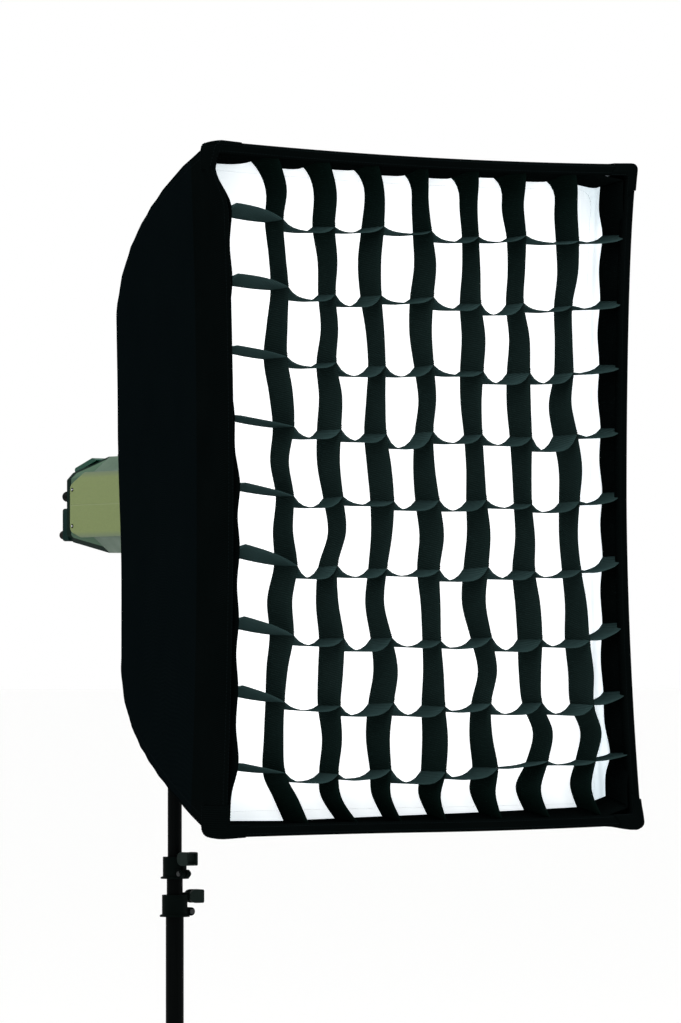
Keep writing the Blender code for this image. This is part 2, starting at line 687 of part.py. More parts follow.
def build_bracket():
    """The socket with its clevis, both screws, and the tilt arm under the head."""
    bore = STUD_RADIUS + SEAT
    depth = STUD_HEIGHT + 0.001
    half_slot = CLEVIS_SLOT / 2
    socket = turned([
        (bore, 0), (SOCKET_RADIUS - 0.002, 0), (SOCKET_RADIUS, 0.003), (SOCKET_RADIUS, SOCKET_HEIGHT),
        (0, SOCKET_HEIGHT), (0, depth), (bore, depth),
    ])
    base = add_piece("bracket_base", socket, "black_casting", "pan")
    pivot = SOCKET_HEIGHT + TILT_RISE
    cheek = CHEEK_RADIUS
    side = rectangle(-cheek, SOCKET_HEIGHT - 0.004, cheek, pivot + cheek)
    side = rounded(side, [0.003, 0.003, cheek - SEAT, cheek - SEAT], 4)
    join(base, prism(side, -HALF_CLEVIS, HALF_CLEVIS), "pan", turn=FROM_SIDE)
    slot_floor = pivot - cheek - 0.0025
    cut(base, block((-half_slot, -0.05, slot_floor), (half_slot, 0.05, pivot + 0.05)), "pan")
    cut(base, rod_shape(0.0044, -0.04, 0.04, COARSE), "pan", (0, 0, pivot), ALONG_X)
    boss_end = SOCKET_RADIUS + 0.0095
    join(base, rod_shape(0.010, SOCKET_RADIUS - 0.004, boss_end), "socket_screw_turn", turn=ALONG_Y)
    cut(base, rod_shape(0.0044, 0.002, 0.04, COARSE), "socket_screw_turn", turn=ALONG_Y)
    head = boss_end + RUNNING
    screw = turned([
        (0, STUD_RADIUS + RUNNING), (0.004, STUD_RADIUS + RUNNING), (0.004, head), (0.009, head),
        (0.009, head + 0.012), (0.007, head + 0.014), (0, head + 0.014),
    ], MEDIUM)
    screw = add_piece("socket_screw", screw, "knob_plastic", "socket_screw_turn", turn=ALONG_Y)
    bar = turned([
        (0, -0.024), (0.004, -0.024), (0.0055, -0.022), (0.0055, 0.022), (0.004, 0.024), (0, 0.024),
    ], COARSE)
    join(screw, bar, "socket_screw_turn", (0, head + 0.007, 0))
    build_tilt_arm()


def build_tilt_arm():
    """The arm that carries the head, and the handle that locks it."""
    cheek = CHEEK_RADIUS
    plate_top = HEAD_AXIS_RISE - HEAD_HALF_HEIGHT - SEAT
    plate_low = plate_top - 0.005
    tongue = rounded(
        [(-0.024, plate_low + 0.001), (-cheek, 0.004), (-cheek, -cheek), (cheek, -cheek), (cheek, 0.004),
         (0.024, plate_low + 0.001)],
        [0, 0.006, cheek - SEAT, cheek - SEAT, 0.006, 0],
    )
    reach = CLEVIS_SLOT / 2 - SEAT
    arm = add_piece("tilt_arm", prism(tongue, -reach, reach), "black_casting", "head", turn=FROM_SIDE)
    plate = rounded(rectangle(-0.028, -0.042, 0.028, 0.042), 0.008)
    join(arm, prism(plate, plate_low, plate_top), "head")
    cut(arm, rod_shape(0.0044, -0.04, 0.04, COARSE), "head", turn=ALONG_X)
    hub = HALF_CLEVIS + RUNNING
    nut = HALF_CLEVIS + 0.0065
    handle = turned([
        (0, -nut), (0.0065, -nut), (0.0065, -hub), (0.004, -hub), (0.004, hub), (0.010, hub),
        (0.010, hub + 0.012), (0.008, hub + 0.014), (0, hub + 0.014),
    ], MEDIUM)
    handle = add_piece("tilt_handle", handle, "knob_plastic", "tilt_handle_turn", turn=ALONG_X)
    lever = [(-0.0055, 0.004), (-0.0075, -0.062), (0.0075, -0.062), (0.0055, 0.004)]
    lever = rounded(lever, [0, 0.0065, 0.0065, 0])
    join(handle, prism(lever, hub + 0.0025, hub + 0.0125), "tilt_handle_turn", turn=FROM_SIDE)


def octagon(half_width, top, bottom, cut_width, cut_height, soften=0.003):
    """The eight-sided section of the head, seen from the front."""
    inner = half_width - cut_width
    corners = [
        (half_width, -bottom + cut_height), (half_width, top - cut_height), (inner, top),
        (-inner, top), (-half_width, top - cut_height), (-half_width, -bottom + cut_height),
        (-inner, -bottom), (inner, -bottom),
    ]
    return rounded(corners, soften, 2)


def section(outline, forward):
    """A front outline as a ring of points at a distance in front of the column."""
    return [(x, -forward, z) for x, z in outline]


def build_housing():
    """The eight-sided casing with its vents, side panels, and sensor dome."""
    full = (HEAD_HALF_WIDTH, HEAD_HALF_HEIGHT, HEAD_HALF_HEIGHT, HEAD_CUT_WIDTH, HEAD_CUT_HEIGHT)
    outer = octagon(*full)
    scale_x = 1 - HOUSING_WALL / HEAD_HALF_WIDTH
    scale_z = 1 - HOUSING_WALL / HEAD_HALF_HEIGHT
    inner = [(x * scale_x, z * scale_z) for x, z in outer]
    rings = [
        section(outer, -HOUSING_BACK), section(outer, HEAD_FRONT), section(inner, HEAD_FRONT),
        section(inner, -HOUSING_BACK),
    ]
    housing = add_piece("housing", skin(rings, False), "grey_paint", "optics", smooth=30)
    slots = []
    vent_half = FAN_HALF - 0.0055
    for index in range(6):
        centre = FAN_PLACE + (index - 2.5) * 0.0085
        low = (-vent_half, centre - 0.002, HEAD_HALF_HEIGHT - 0.01)
        slots.append((block(low, (vent_half, centre + 0.002, HEAD_HALF_HEIGHT + 0.01)), UPRIGHT))
    cut(housing, together(slots), "optics")
    half_panel = HEAD_HALF_HEIGHT - HEAD_CUT_HEIGHT
    front = 0.002 - HEAD_FRONT
    edge = [
        (front, -half_panel), (PANEL_BACK - 0.030, -half_panel), (PANEL_BACK, -half_panel + 0.010),
        (PANEL_BACK, half_panel - 0.020), (PANEL_BACK - 0.042, half_panel), (front, half_panel),
    ]
    edge = rounded(edge, [0.003, 0.012, 0.010, 0.010, 0.012, 0.003])
    near = HEAD_HALF_WIDTH + SEAT
    far = near + PANEL_THICKNESS
    add_piece("side_panel_right", prism(edge, near, far), "champagne_paint", "optics", turn=FROM_SIDE)
    add_piece("side_panel_left", prism(edge, -far, -near), "champagne_paint", "optics", turn=FROM_SIDE)
    dome = [(0, 0), (0.006, 0), (0.006, 0.0025)]
    for step in range(5):
        angle = math.radians(90 * step / 4)
        dome.append((0.0052 * math.cos(angle), 0.0032 + 0.0052 * math.sin(angle)))
    dome[-1] = (0, dome[-1][1])
    place = (0.0125 - HEAD_FLAT, HOUSING_BACK - 0.014, HEAD_HALF_HEIGHT + SEAT)
    add_piece("sensor_dome", turned(dome, MEDIUM), "sensor_plastic", "optics", place)


def build_rear_cap():
    """The sloping rear cap with a finger notch, and the carry handle over it."""
    full = (HEAD_HALF_WIDTH, HEAD_HALF_HEIGHT, HEAD_HALF_HEIGHT, HEAD_CUT_WIDTH, HEAD_CUT_HEIGHT)
    back = (HEAD_HALF_WIDTH - CAP_SIDE_DRAFT, CAP_TOP, CAP_BOTTOM, 0.012, 0.012)
    rings = [
        section(octagon(*full), -CAP_START), section(octagon(*full), -CAP_SLOPE_START),
        section(octagon(*back), -CAP_BACK),
    ]
    cap = add_piece("rear_cap", skin(rings, True), "dark_plastic", "optics", smooth=30)
    low = (-CAVITY_HALF_WIDTH, CAP_START - 0.01, -CAVITY_BOTTOM)
    cut(cap, block(low, (CAVITY_HALF_WIDTH, CAP_BACK + 0.01, CAVITY_TOP)), "optics")
    notch_floor = CONTROL_TOP + 0.0015
    low = (-NOTCH_HALF_WIDTH, CAP_BACK - NOTCH_LENGTH, notch_floor)
    cut(cap, block(low, (NOTCH_HALF_WIDTH, CAP_BACK + 0.02, HEAD_HALF_HEIGHT + 0.02)), "optics")
    run = CAP_BACK - CAP_SLOPE_START
    fall = HEAD_HALF_HEIGHT - CAP_TOP
    along = Vector((run, -fall)).normalized()
    out = Vector((-along.y, along.x))
    start = Vector((CAP_SLOPE_START, HEAD_HALF_HEIGHT)) + out * 2 * SEAT
    length = math.hypot(run, fall) + 0.004
    corners = [
        start + along * 0.020, start + along * length, start + along * length + out * HANDLE_THICKNESS,
        start + along * 0.032 + out * HANDLE_THICKNESS,
    ]
    outline = rounded([tuple(corner) for corner in corners], [0.001, 0.0035, 0.0035, 0.004])
    handle = prism(outline, -HANDLE_HALF_WIDTH, HANDLE_HALF_WIDTH)
    add_piece("carry_handle", handle, "teal_plastic", "optics", turn=FROM_SIDE)


def build_controls():
    """The control panel with its dials and buttons."""
    half = HEAD_HALF_WIDTH - 0.0055
    face = PLATE_BACK + CONTROL_THICKNESS
    plate = rounded(rectangle(-half, CONTROL_BOTTOM, half, CONTROL_TOP), 0.003, 2)
    plate = prism(plate, -face, -PLATE_BACK)
    panel = add_piece("control_panel", plate, "block_plastic", "optics", turn=FACING_FRONT)
    holes = []
    for name, (x, z) in list(DIAL_PLACES.items()) + list(BUTTON_PLACES.items()):
        size = 0.0036 if name in DIAL_PLACES else BUTTON_RADIUS + 0.0004
        holes.append((rod_shape(size, -0.01, 0.01, MEDIUM), Matrix.Translation((x, face, z)) @ FACING_BACK))
    cut(panel, together(holes), "optics")
    for name, (x, z) in DIAL_PLACES.items():
        add_body(f"{name}_turn", "optics", (x, face, z))
        dial = turned([
            (0, -0.012), (0.003, -0.012), (0.003, RUNNING), (DIAL_RADIUS, RUNNING), (DIAL_RADIUS, 0.004),
            (DIAL_RADIUS - 0.0012, 0.0055), (DIAL_RADIUS - 0.0020, DIAL_HEIGHT - 0.0015),
            (DIAL_RADIUS - 0.0035, DIAL_HEIGHT), (0, DIAL_HEIGHT),
        ], 20)
        add_piece(name, dial, "knob_plastic", f"{name}_turn", turn=FACING_BACK)
    for name, (x, z) in BUTTON_PLACES.items():
        add_body(f"{name}_press", "optics", (x, face, z))
        button = turned([
            (0, -0.008), (BUTTON_RADIUS, -0.008), (BUTTON_RADIUS, BUTTON_STANDING - 0.0006),
            (BUTTON_RADIUS - 0.0006, BUTTON_STANDING), (0, BUTTON_STANDING),
        ], MEDIUM)
        add_piece(name, button, "knob_plastic", f"{name}_press", turn=FACING_BACK)


def build_power_block():
    """The raised block with the mains inlet, rocker switch, and fuse cap."""
    half = HEAD_HALF_WIDTH - 0.005
    outline = rounded(rectangle(-half, POWER_BOTTOM, half, POWER_TOP), 0.004)
    back = PLATE_BACK + POWER_BLOCK_PROUD
    power = prism(outline, -back, -PLATE_BACK)
    power = add_piece("power_block", power, "block_plastic", "optics", turn=FACING_FRONT)
    openings = []
    inlet = (INLET_PLACE, INLET_WIDTH, INLET_HEIGHT, SEAT)
    switch = (SWITCH_PLACE, SWITCH_WIDTH, SWITCH_HEIGHT, RUNNING)
    for (x, z), width, height, gap in (inlet, switch):
        half_x, half_z = width / 2 + gap, height / 2 + gap
        low = (x - half_x, PLATE_BACK - 0.02, z - half_z)
        openings.append((block(low, (x + half_x, back + 0.02, z + half_z)), UPRIGHT))
    x, z = FUSE_PLACE
    openings.append((rod_shape(0.0055, -0.03, 0.03), Matrix.Translation((x, back, z)) @ FACING_BACK))
    cut(power, together(openings), "optics")
    fuse = turned([
        (0, -0.0125), (0.0052, -0.0125), (0.0052, SEAT), (0.0085, SEAT), (0.0085, 0.007),
        (0.0065, 0.016), (0, 0.016),
    ], MEDIUM)
    add_piece("fuse_cap", fuse, "rubber", "optics", (x, back, z), FACING_BACK)
    build_inlet(back)
    build_switch(back)


def build_inlet(back):
    """A flanged recessed inlet with three flat pins."""
    x, z = INLET_PLACE
    half_x, half_z = INLET_WIDTH / 2, INLET_HEIGHT / 2
    face = back + SEAT
    rim_x, rim_z = half_x + 0.002, half_z + 0.002
    flange = rounded(rectangle(x - rim_x, z - rim_z, x + rim_x, z + rim_z), 0.002, 2)
    flange = prism(flange, -face - 0.002, -face)
    inlet = add_piece("mains_inlet", flange, "rubber", "optics", turn=FACING_FRONT)
    sunk = back - INLET_DEPTH
    join(inlet, block((x - half_x, sunk, z - half_z), (x + half_x, face + 0.001, z + half_z)), "optics")
    floor = sunk + 0.003
    wall = 0.0016
    in_x, in_z = half_x - wall, half_z - wall
    recess = rounded(rectangle(x - in_x, z - in_z, x + in_x, z + in_z), [0.001, 0.001, 0.004, 0.004], 2)
    cut(inlet, prism(recess, -face - 0.01, -floor), "optics", turn=FACING_FRONT)
    pins = []
    for dx, dz in ((-0.007, -0.002), (0, 0.002), (0.007, -0.002)):
        low = (x + dx - 0.001, floor - 0.001, z + dz - 0.002)
        pins.append((block(low, (x + dx + 0.001, face - 0.0075, z + dz + 0.002)), UPRIGHT))
    join(inlet, together(pins), "optics")


def build_switch(back):
    """A rocker on a cross pivot just inside the block."""
    x, z = SWITCH_PLACE
    add_body("switch_turn", "optics", (x, back - 0.0035, z), Matrix.Rotation(SWITCH_TILT, 4, "X"))
    half = SWITCH_HEIGHT / 2
    ridge = 0.0042
    outline = [(ridge, -half + 0.0006), (0.0030, 0), (ridge, half - 0.0006)]
    for step in range(9):
        angle = math.radians(70 + 220 * (step + 1) / 10)
        outline.append(((half - 0.001) * math.cos(angle) * 0.9, (half - 0.001) * math.sin(angle)))
    width = SWITCH_WIDTH / 2
    add_piece("rocker_switch", prism(outline, -width, width), "knob_plastic", "switch_turn", turn=FROM_SIDE)


def build_front_mount():
    """The front casting with its bayonet ring, and the sliding release latch."""
    face = octagon(HEAD_HALF_WIDTH, HEAD_HALF_HEIGHT, HEAD_HALF_HEIGHT, HEAD_CUT_WIDTH, HEAD_CUT_HEIGHT)
    front = HEAD_FRONT + SEAT
    plate = prism(face, front, front + BULKHEAD)
    mount = add_piece("front_mount", plate, "black_casting", "optics", turn=FACING_FRONT)
    cut(mount, rod_shape(MOUNT_BORE + 0.002, front - 0.02, RING_END + 0.02), "optics", turn=FACING_FRONT)
    join(mount, pipe_shape(MOUNT_BORE, MOUNT_RADIUS, front + 0.001, RING_END), "optics", turn=FACING_FRONT)
    notches = []
    for index in range(3):
        low = (-0.0075, MOUNT_BORE - 0.005, RING_END - 0.007)
        notches.append((block(low, (0.0075, MOUNT_BORE + 0.004, RING_END + 0.01)), around(120 * index)))
    cut(mount, together(notches), "optics", turn=FACING_FRONT)
    side = [(0.004, SEAT), (0.016, SEAT), (0.016, 0.0085), (0.007, 0.0085)]
    side = rounded(side, [0.001, 0.001, 0.003, 0.003], 2)
    turn = Matrix.Rotation(math.pi, 4, "Z") @ FROM_SIDE
    add_piece("release_latch", prism(side, -0.008, 0.008), "knob_plastic", "latch_slide", turn=turn)


def build_inner_pieces():
    """Reflector, flash tube, lamp, board, capacitor, and fan."""
    back = HEAD_FRONT - 0.004
    rim = MOUNT_BORE - 0.001
    wall = 0.0012
    neck = 0.0165
    rim_reach = RING_START + MOUNT_LENGTH * 0.85
    deep = back + 0.006
    mid = deep + (rim_reach - deep) * 0.35
    dish = turned([
        (neck, back), (neck + wall, back), (neck + wall, deep - wall), (rim - 0.012, mid - wall),
        (rim, rim_reach), (rim - wall, rim_reach), (rim - 0.012 - wall, mid), (neck, deep),
    ], MEDIUM)
    reflector = add_piece("reflector", dish, "reflector_metal", "optics", turn=FACING_FRONT)
    ring = 0.030
    tube = 0.004
    ends = [(ring * math.cos(math.radians(a)), ring * math.sin(math.radians(a))) for a in (-75, 255)]
    holes = []
    for x, y in ends:
        hole = rod_shape(tube + 0.0008, back - 0.02, rim_reach + 0.02)
        holes.append((hole, Matrix.Translation((x, y, 0))))
    cut(reflector, together(holes), "optics", turn=FACING_FRONT)
    ring_reach = rim_reach + 0.006
    path = [(ends[0][0], ends[0][1], back), (ends[0][0], ends[0][1], ring_reach - 0.008)]
    for step in range(15):
        angle = math.radians(-75 + 330 * step / 14)
        path.append((ring * math.cos(angle), ring * math.sin(angle), ring_reach))
    path += [(ends[1][0], ends[1][1], ring_reach - 0.008), (ends[1][0], ends[1][1], back)]
    add_bar("flash_tube", path, tube, "lamp_glass", "optics", FACING_FRONT)
    tip = rim_reach + 0.050
    lamp = turned([
        (0, back - 0.020), (0.0132, back - 0.020), (0.0132, deep), (0.0152, deep + 0.010),
        (0.0152, tip - 0.012), (0.0110, tip - 0.003), (0, tip),
    ], MEDIUM)
    add_piece("modelling_lamp", lamp, "lamp_glass", "optics", turn=FACING_FRONT)
    board_low = -0.93 * (HEAD_HALF_HEIGHT - HEAD_CUT_HEIGHT)
    board_half = HEAD_HALF_WIDTH - HOUSING_WALL - SEAT
    board_top = board_low + 0.0016
    low = (-board_half, 0.02 - HEAD_FRONT, board_low)
    board = block(low, (board_half, HOUSING_BACK - 0.01, board_top))
    add_piece("circuit_board", board, "board_laminate", "optics")
    can = CAPACITOR_RADIUS
    can_height = board_top + can + SEAT
    can_front = 0.050 - HEAD_FRONT
    can_end = HOUSING_BACK - 0.034
    capacitor = turned([
        (0, can_front), (can, can_front), (can, can_end - 0.003), (can - 0.003, can_end), (0, can_end),
    ])
    add_piece("capacitor", capacitor, "capacitor_sleeve", "optics", (0, 0, can_height), ALONG_Y)
    build_fan()


def build_fan():
    """A square fan frame hung under the vents, and its rotor."""
    half = FAN_HALF
    top = HEAD_HALF_HEIGHT - HOUSING_WALL - SEAT
    low = top - 0.015
    frame = block((-half, FAN_PLACE - half, low), (half, FAN_PLACE + half, top))
    frame = add_piece("fan_frame", frame, "fan_plastic", "optics")
    cut(frame, rod_shape(half - 0.0025, low - 0.01, top + 0.01), "optics", (0, FAN_PLACE, 0))
    bar = block((-half + 0.001, FAN_PLACE - 0.002, low), (half - 0.001, FAN_PLACE + 0.002, low + 0.002))
    join(frame, bar, "optics")
    join(frame, rod_shape(0.008, low, low + 0.003), "optics", (0, FAN_PLACE, 0))
    add_body("fan_spin", "optics", (0, FAN_PLACE, low + 0.003 + SEAT))
    rotor = add_piece("fan_rotor", rod_shape(0.010, 0, 0.010, MEDIUM), "fan_plastic", "fan_spin")
    blades = []
    for index in range(5):
        blade = block((0.008, -0.0007, 0.001), (half - 0.0045, 0.0007, 0.009))
        pitch = Matrix.Translation((0, 0, 0.005)) @ Matrix.Rotation(math.radians(38), 4, "X")
        pitch = pitch @ Matrix.Translation((0, 0, -0.005))
        blades.append((blade, around(72 * index) @ pitch))
    join(rotor, together(blades), "fan_spin")


def add_bar(name, path, radius, finish, body, turn=UPRIGHT, sides=2):
    """A round bar along a path of points, as a bevelled curve with closed ends."""
    curve = bpy.data.curves.new(name, "CURVE")
    curve.dimensions = "3D"
    curve.bevel_depth = radius
    curve.bevel_resolution = sides
    curve.use_fill_caps = True
    spline = curve.splines.new("POLY")
    spline.points.add(len(path) - 1)
    for point, place in zip(spline.points, path):
        point.co = (*place, 1)
    curve.materials.append(finishes[finish])
    bar = bpy.data.objects.new(name, curve)
    bpy.context.scene.collection.objects.link(bar)
    bar.parent = bodies[body]
    bar.matrix_basis = turn
    pieces[name] = bar


def bowed(start, end, share):
    """The bow of a rod or of the shell: leaves the ring sideways, then runs forward to the corner."""
    span = end - start
    return eased((0, start), (0.385, start + 0.015 * span), (0.60, start + 0.033 * span), (1, end), share)


def rod_curve(share):
    """A rod's (share of the way to the corner, distance in front of the column)."""
    return bowed(ROD_ROOT, FRONT_REACH - LIP_STRAIGHT, share)


def shell_curve(share):
    """The shell's (share of the way to the corner, distance in front of the column)."""
    return bowed(SHELL_START, FRONT_REACH - LIP_STRAIGHT, share)


def rod_point(share, forward, sign_x, sign_z):
    """A point of a rod in the softbox frame."""
    x = ROD_SEAT + share * (SOFTBOX_WIDTH / 2 - ROD_INSET - ROD_SEAT)
    z = ROD_SEAT + share * (SOFTBOX_HEIGHT / 2 - ROD_INSET - ROD_SEAT)
    return Vector((sign_x * x, -forward, sign_z * z))


def build_speedring():
    """The bayonet adapter, the turning ring with four rod sockets, and the rods."""
    inside = MOUNT_BORE + 0.0005
    body = MOUNT_RADIUS - 0.002
    lip = body + 0.0055
    adapter = turned([
        (inside, ADAPTER_START), (body, ADAPTER_START), (body, ADAPTER_FLANGE), (lip, ADAPTER_FLANGE),
        (lip, ADAPTER_FLANGE + 0.003), (inside, ADAPTER_FLANGE + 0.003),
    ], SMOOTH)
    adapter = add_piece("bayonet_adapter", adapter, "bright_steel", "optics", turn=FACING_FRONT)
    claws = []
    for index in range(3):
        low = (-0.0065, MOUNT_BORE + 0.0008, RING_END - 0.006)
        claws.append((block(low, (0.0065, MOUNT_BORE + 0.0034, ADAPTER_START + 0.002)), around(120 * index)))
    join(adapter, together(claws), "optics", turn=FACING_FRONT)
    bore = body + RUNNING
    low, high = SPEEDRING_START, SPEEDRING_START + SPEEDRING_LENGTH
    rim = SPEEDRING_RADIUS
    ring = turned([
        (bore, low), (rim - 0.002, low), (rim, low + 0.002), (rim, high - 0.002), (rim - 0.002, high),
        (bore, high),
    ], SMOOTH)
    ring = add_piece("speedring", ring, "black_casting", "softbox", turn=FACING_FRONT)
    path = [rod_curve(step / 14) for step in range(15)] + [Vector((1, FRONT_REACH - 0.010))]
    bosses = []
    bores = []
    for sign_x, sign_z in CORNER_SIGNS.values():
        root = rod_point(*path[0], sign_x, sign_z)
        heading = rod_point(*path[1], sign_x, sign_z) - root
        aim = Matrix.Translation(root) @ Vector((0, 0, 1)).rotation_difference(heading).to_matrix().to_4x4()
        bosses.append((rod_shape(0.0080, -0.006, 0.024, COARSE), aim))
        bores.append((rod_shape(ROD_RADIUS + 0.0012, -0.001, 0.05, COARSE), aim))
    join(ring, together(bosses), "softbox")
    cut(ring, together(bores), "softbox")
    for corner, (sign_x, sign_z) in CORNER_SIGNS.items():
        points = [rod_point(*place, sign_x, sign_z) for place in path]
        add_bar(f"rod_{corner}", points, ROD_RADIUS, "spring_steel", "softbox", sides=1)


def draw_in(x, z, half_width, half_height):
    """Pull the sides of a section inward, most at their middles."""
    pull_x = EDGE_DRAW * (2 * half_height) ** 2 * (1 - (z / half_height) ** 2)
    pull_z = EDGE_DRAW * (2 * half_width) ** 2 * (1 - (x / half_width) ** 2)
    return Vector((x * (1 - pull_x / half_width), z * (1 - pull_z / half_height)))


def softbox_outline(half_width, half_height, corner):
    """A four-sided section with rounded corners and sides drawn inward."""
    plain = []
    for quarter, (sign, ahead) in enumerate(QUARTERS):
        centre = Vector((sign[0] * (half_width - corner), sign[1] * (half_height - corner)))
        for step in range(3):
            angle = math.radians(90 * quarter + 45 * step)
            plain.append(centre + corner * Vector((math.cos(angle), math.sin(angle))))
        start = plain[-1]
        length = 2 * ((half_width if ahead[0] else half_height) - corner)
        for step in range(1, 4):
            plain.append(start + Vector(ahead) * length * step / 4)
    return [tuple(draw_in(point.x, point.y, half_width, half_height)) for point in plain]


def shell_half(way):
    """Half width and half height of the shell at a share of the way to its corner."""
    half_width = SHELL_SEAT + way * (SOFTBOX_WIDTH / 2 - SHELL_SEAT)
    return half_width, SHELL_SEAT + way * (SOFTBOX_HEIGHT / 2 - SHELL_SEAT)


def shell_section(share, wall):
    """One ring of the shell, set in by the wall along the curve's normal."""
    way, forward = shell_curve(share)
    ahead = shell_curve(min(share + 0.01, 1)) - shell_curve(share - 0.01)
    mean = (SOFTBOX_WIDTH + SOFTBOX_HEIGHT) / 4 - SHELL_SEAT
    run = Vector((ahead.x * mean, ahead.y)).normalized()
    half_width, half_height = (half - wall * run.y for half in shell_half(way))
    corner = CORNER_RADIUS + 0.045 * (1 - way) ** 2 - wall
    return section(softbox_outline(half_width, half_height, corner), forward + wall * run.x)


def lip_ring(inset, forward):
    """A ring of the straight lip."""
    corner = max(CORNER_RADIUS - inset, 0.004)
    outline = softbox_outline(SOFTBOX_WIDTH / 2 - inset, SOFTBOX_HEIGHT / 2 - inset, corner)
    return section(outline, forward)


def build_softbox_cloth():
    """The bowed shell with its lip and hem, the front diffuser, and the inner baffle."""
    shares = [0.07 + 0.93 * step / 9 for step in range(10)]
    outer = [shell_section(share, 0) for share in shares]
    inner = [shell_section(share, SHELL_WALL) for share in shares]
    hem_back = FRONT_REACH - SHELL_WALL
    lip = [lip_ring(0, FRONT_REACH), lip_ring(HEM_WIDTH, FRONT_REACH), lip_ring(HEM_WIDTH, hem_back)]
    lip.append(lip_ring(SHELL_WALL, hem_back))
    add_piece("softbox_shell", skin(outer + lip + inner[::-1], False), "black_nylon", "softbox", smooth=40)
    half_width, half_height = shell_half(share_at(shell_curve, DIFFUSER_REACH))
    gap = SHELL_WALL + 0.0015
    face = softbox_outline(half_width - gap, half_height - gap, 0.032)
    diffuser = prism(face, DIFFUSER_REACH, DIFFUSER_REACH + DIFFUSER_THICKNESS)
    add_piece("front_diffuser", diffuser, "white_nylon", "softbox", turn=FACING_FRONT)
    add_piece("inner_baffle", baffle_shape(), "white_nylon", "softbox", turn=FACING_FRONT)


def share_at(curve, forward):
    """The share of the way to the corner where a curve passes a distance in front of the column."""
    low, high = 0.0, 1.0
    for _ in range(30):
        middle = (low + high) / 2
        if curve(middle).y < forward:
            low = middle
        else:
            high = middle
    return curve(low).x


def baffle_shape():
    """A flat inner cloth held to the four rods by corner tabs."""
    rod = rod_point(share_at(rod_curve, BAFFLE_REACH), BAFFLE_REACH, 1, 1)
    rod = Vector((rod.x, rod.z))
    corner = rod * 0.84
    reach = (rod - corner).normalized()
    across = Vector((-reach.y, reach.x)) * 0.006
    end = rod - reach * (ROD_RADIUS + 0.0012)
    tab = [corner + Vector((0, -0.014)), end - across, end + across, corner + Vector((-0.014, 0))]
    outline = []
    for index, (sign, _) in enumerate(QUARTERS):
        points = tab if index % 2 == 0 else tab[::-1]
        outline += [(sign[0] * point.x, sign[1] * point.y) for point in points]
    return prism(outline, BAFFLE_REACH, BAFFLE_REACH + BAFFLE_THICKNESS)


def grid_node(column, row, slack):
    """Where two strips of the grid cross; slack shares how far the cloth wanders."""
    half_width, half_height = shell_half(share_at(shell_curve, GRID_BACK))
    half_width -= SHELL_WALL + 0.002 + GRID_WALL / 2
    half_height -= SHELL_WALL + 0.002 + GRID_WALL / 2
    x = half_width * (2 * column / GRID_COLUMNS - 1)
    z = half_height * (2 * row / GRID_ROWS - 1)
    inside_columns = 0 < column < GRID_COLUMNS
    inside_rows = 0 < row < GRID_ROWS
    if not inside_columns and not inside_rows:
        x -= math.copysign(GRID_CORNER_TUCK, x)
        z -= math.copysign(GRID_CORNER_TUCK, z)
    place = draw_in(x, z, half_width, half_height)
    if inside_columns:
        place.x += slack * 0.4 * GRID_WAVE * math.sin(1.9 * row + 1.3 * column)
    if inside_rows:
        place.y += slack * 0.3 * GRID_SAG * math.sin(2.3 * column + 0.7 * row)
    return place


def strip_middle(column, row, upright, slack):
    """The middle of a strip between two crossings, where the loose cloth bows."""
    start = grid_node(column, row, slack)
    if upright:
        middle = (start + grid_node(column, row + 1, slack)) / 2
        if 0 < column < GRID_COLUMNS:
            middle.x += slack * GRID_WAVE * math.sin(1.7 * column + 2.9 * row)
        return middle
    middle = (start + grid_node(column + 1, row, slack)) / 2
    if 0 < row < GRID_ROWS:
        middle.y -= slack * GRID_SAG * (0.75 + 0.25 * math.sin(2.1 * column + 1.3 * row))
    return middle


def grid_points(column, row, slack):
    """The eight points round one cell, inside the strips that border it."""
    half = GRID_WALL / 2
    points = {}
    if column >= 0 and row >= 0:
        points["low_left"] = grid_node(column, row, slack) + Vector((half, half))
    if column < GRID_COLUMNS and row >= 0:
        points["low_right"] = grid_node(column + 1, row, slack) + Vector((-half, half))
    if column < GRID_COLUMNS and row < GRID_ROWS:
        points["high_right"] = grid_node(column + 1, row + 1, slack) + Vector((-half, -half))
    if column >= 0 and row < GRID_ROWS:
        points["high_left"] = grid_node(column, row + 1, slack) + Vector((half, -half))
    if 0 <= row < GRID_ROWS and column >= 0:
        points["left"] = strip_middle(column, row, True, slack) + Vector((half, 0))
    if 0 <= row < GRID_ROWS and column < GRID_COLUMNS:
        points["right"] = strip_middle(column + 1, row, True, slack) + Vector((-half, 0))
    if 0 <= column < GRID_COLUMNS and row >= 0:
        points["low"] = strip_middle(column, row, False, slack) + Vector((0, half))
    if 0 <= column < GRID_COLUMNS and row < GRID_ROWS:
        points["high"] = strip_middle(column, row + 1, False, slack) + Vector((0, -half))
    return points


def grid_faces():
    """The faces of one layer of the grid, as lists of (column, row, place) keys."""
    faces = []
    for column in range(GRID_COLUMNS + 1):
        for row in range(GRID_ROWS + 1):
            left, below = column - 1, row - 1
            faces.append([
                (left, below, "high_right"), (column, below, "high_left"), (column, row, "low_left"),
                (left, row, "low_right"),
            ])
            if row < GRID_ROWS:
                upright = (("low_right", "low_left"), ("right", "left"), ("high_right", "high_left"))
                for (near, far), (near_up, far_up) in zip(upright, upright[1:]):
                    faces.append([
                        (left, row, near), (column, row, far), (column, row, far_up), (left, row, near_up),
                    ])
            if column < GRID_COLUMNS:
                across = (("high_left", "low_left"), ("high", "low"), ("high_right", "low_right"))
                for (near, far), (near_on, far_on) in zip(across, across[1:]):
                    faces.append([
                        (column, below, near), (column, below, near_on), (column, row, far_on),
                        (column, row, far),
                    ])
    return faces


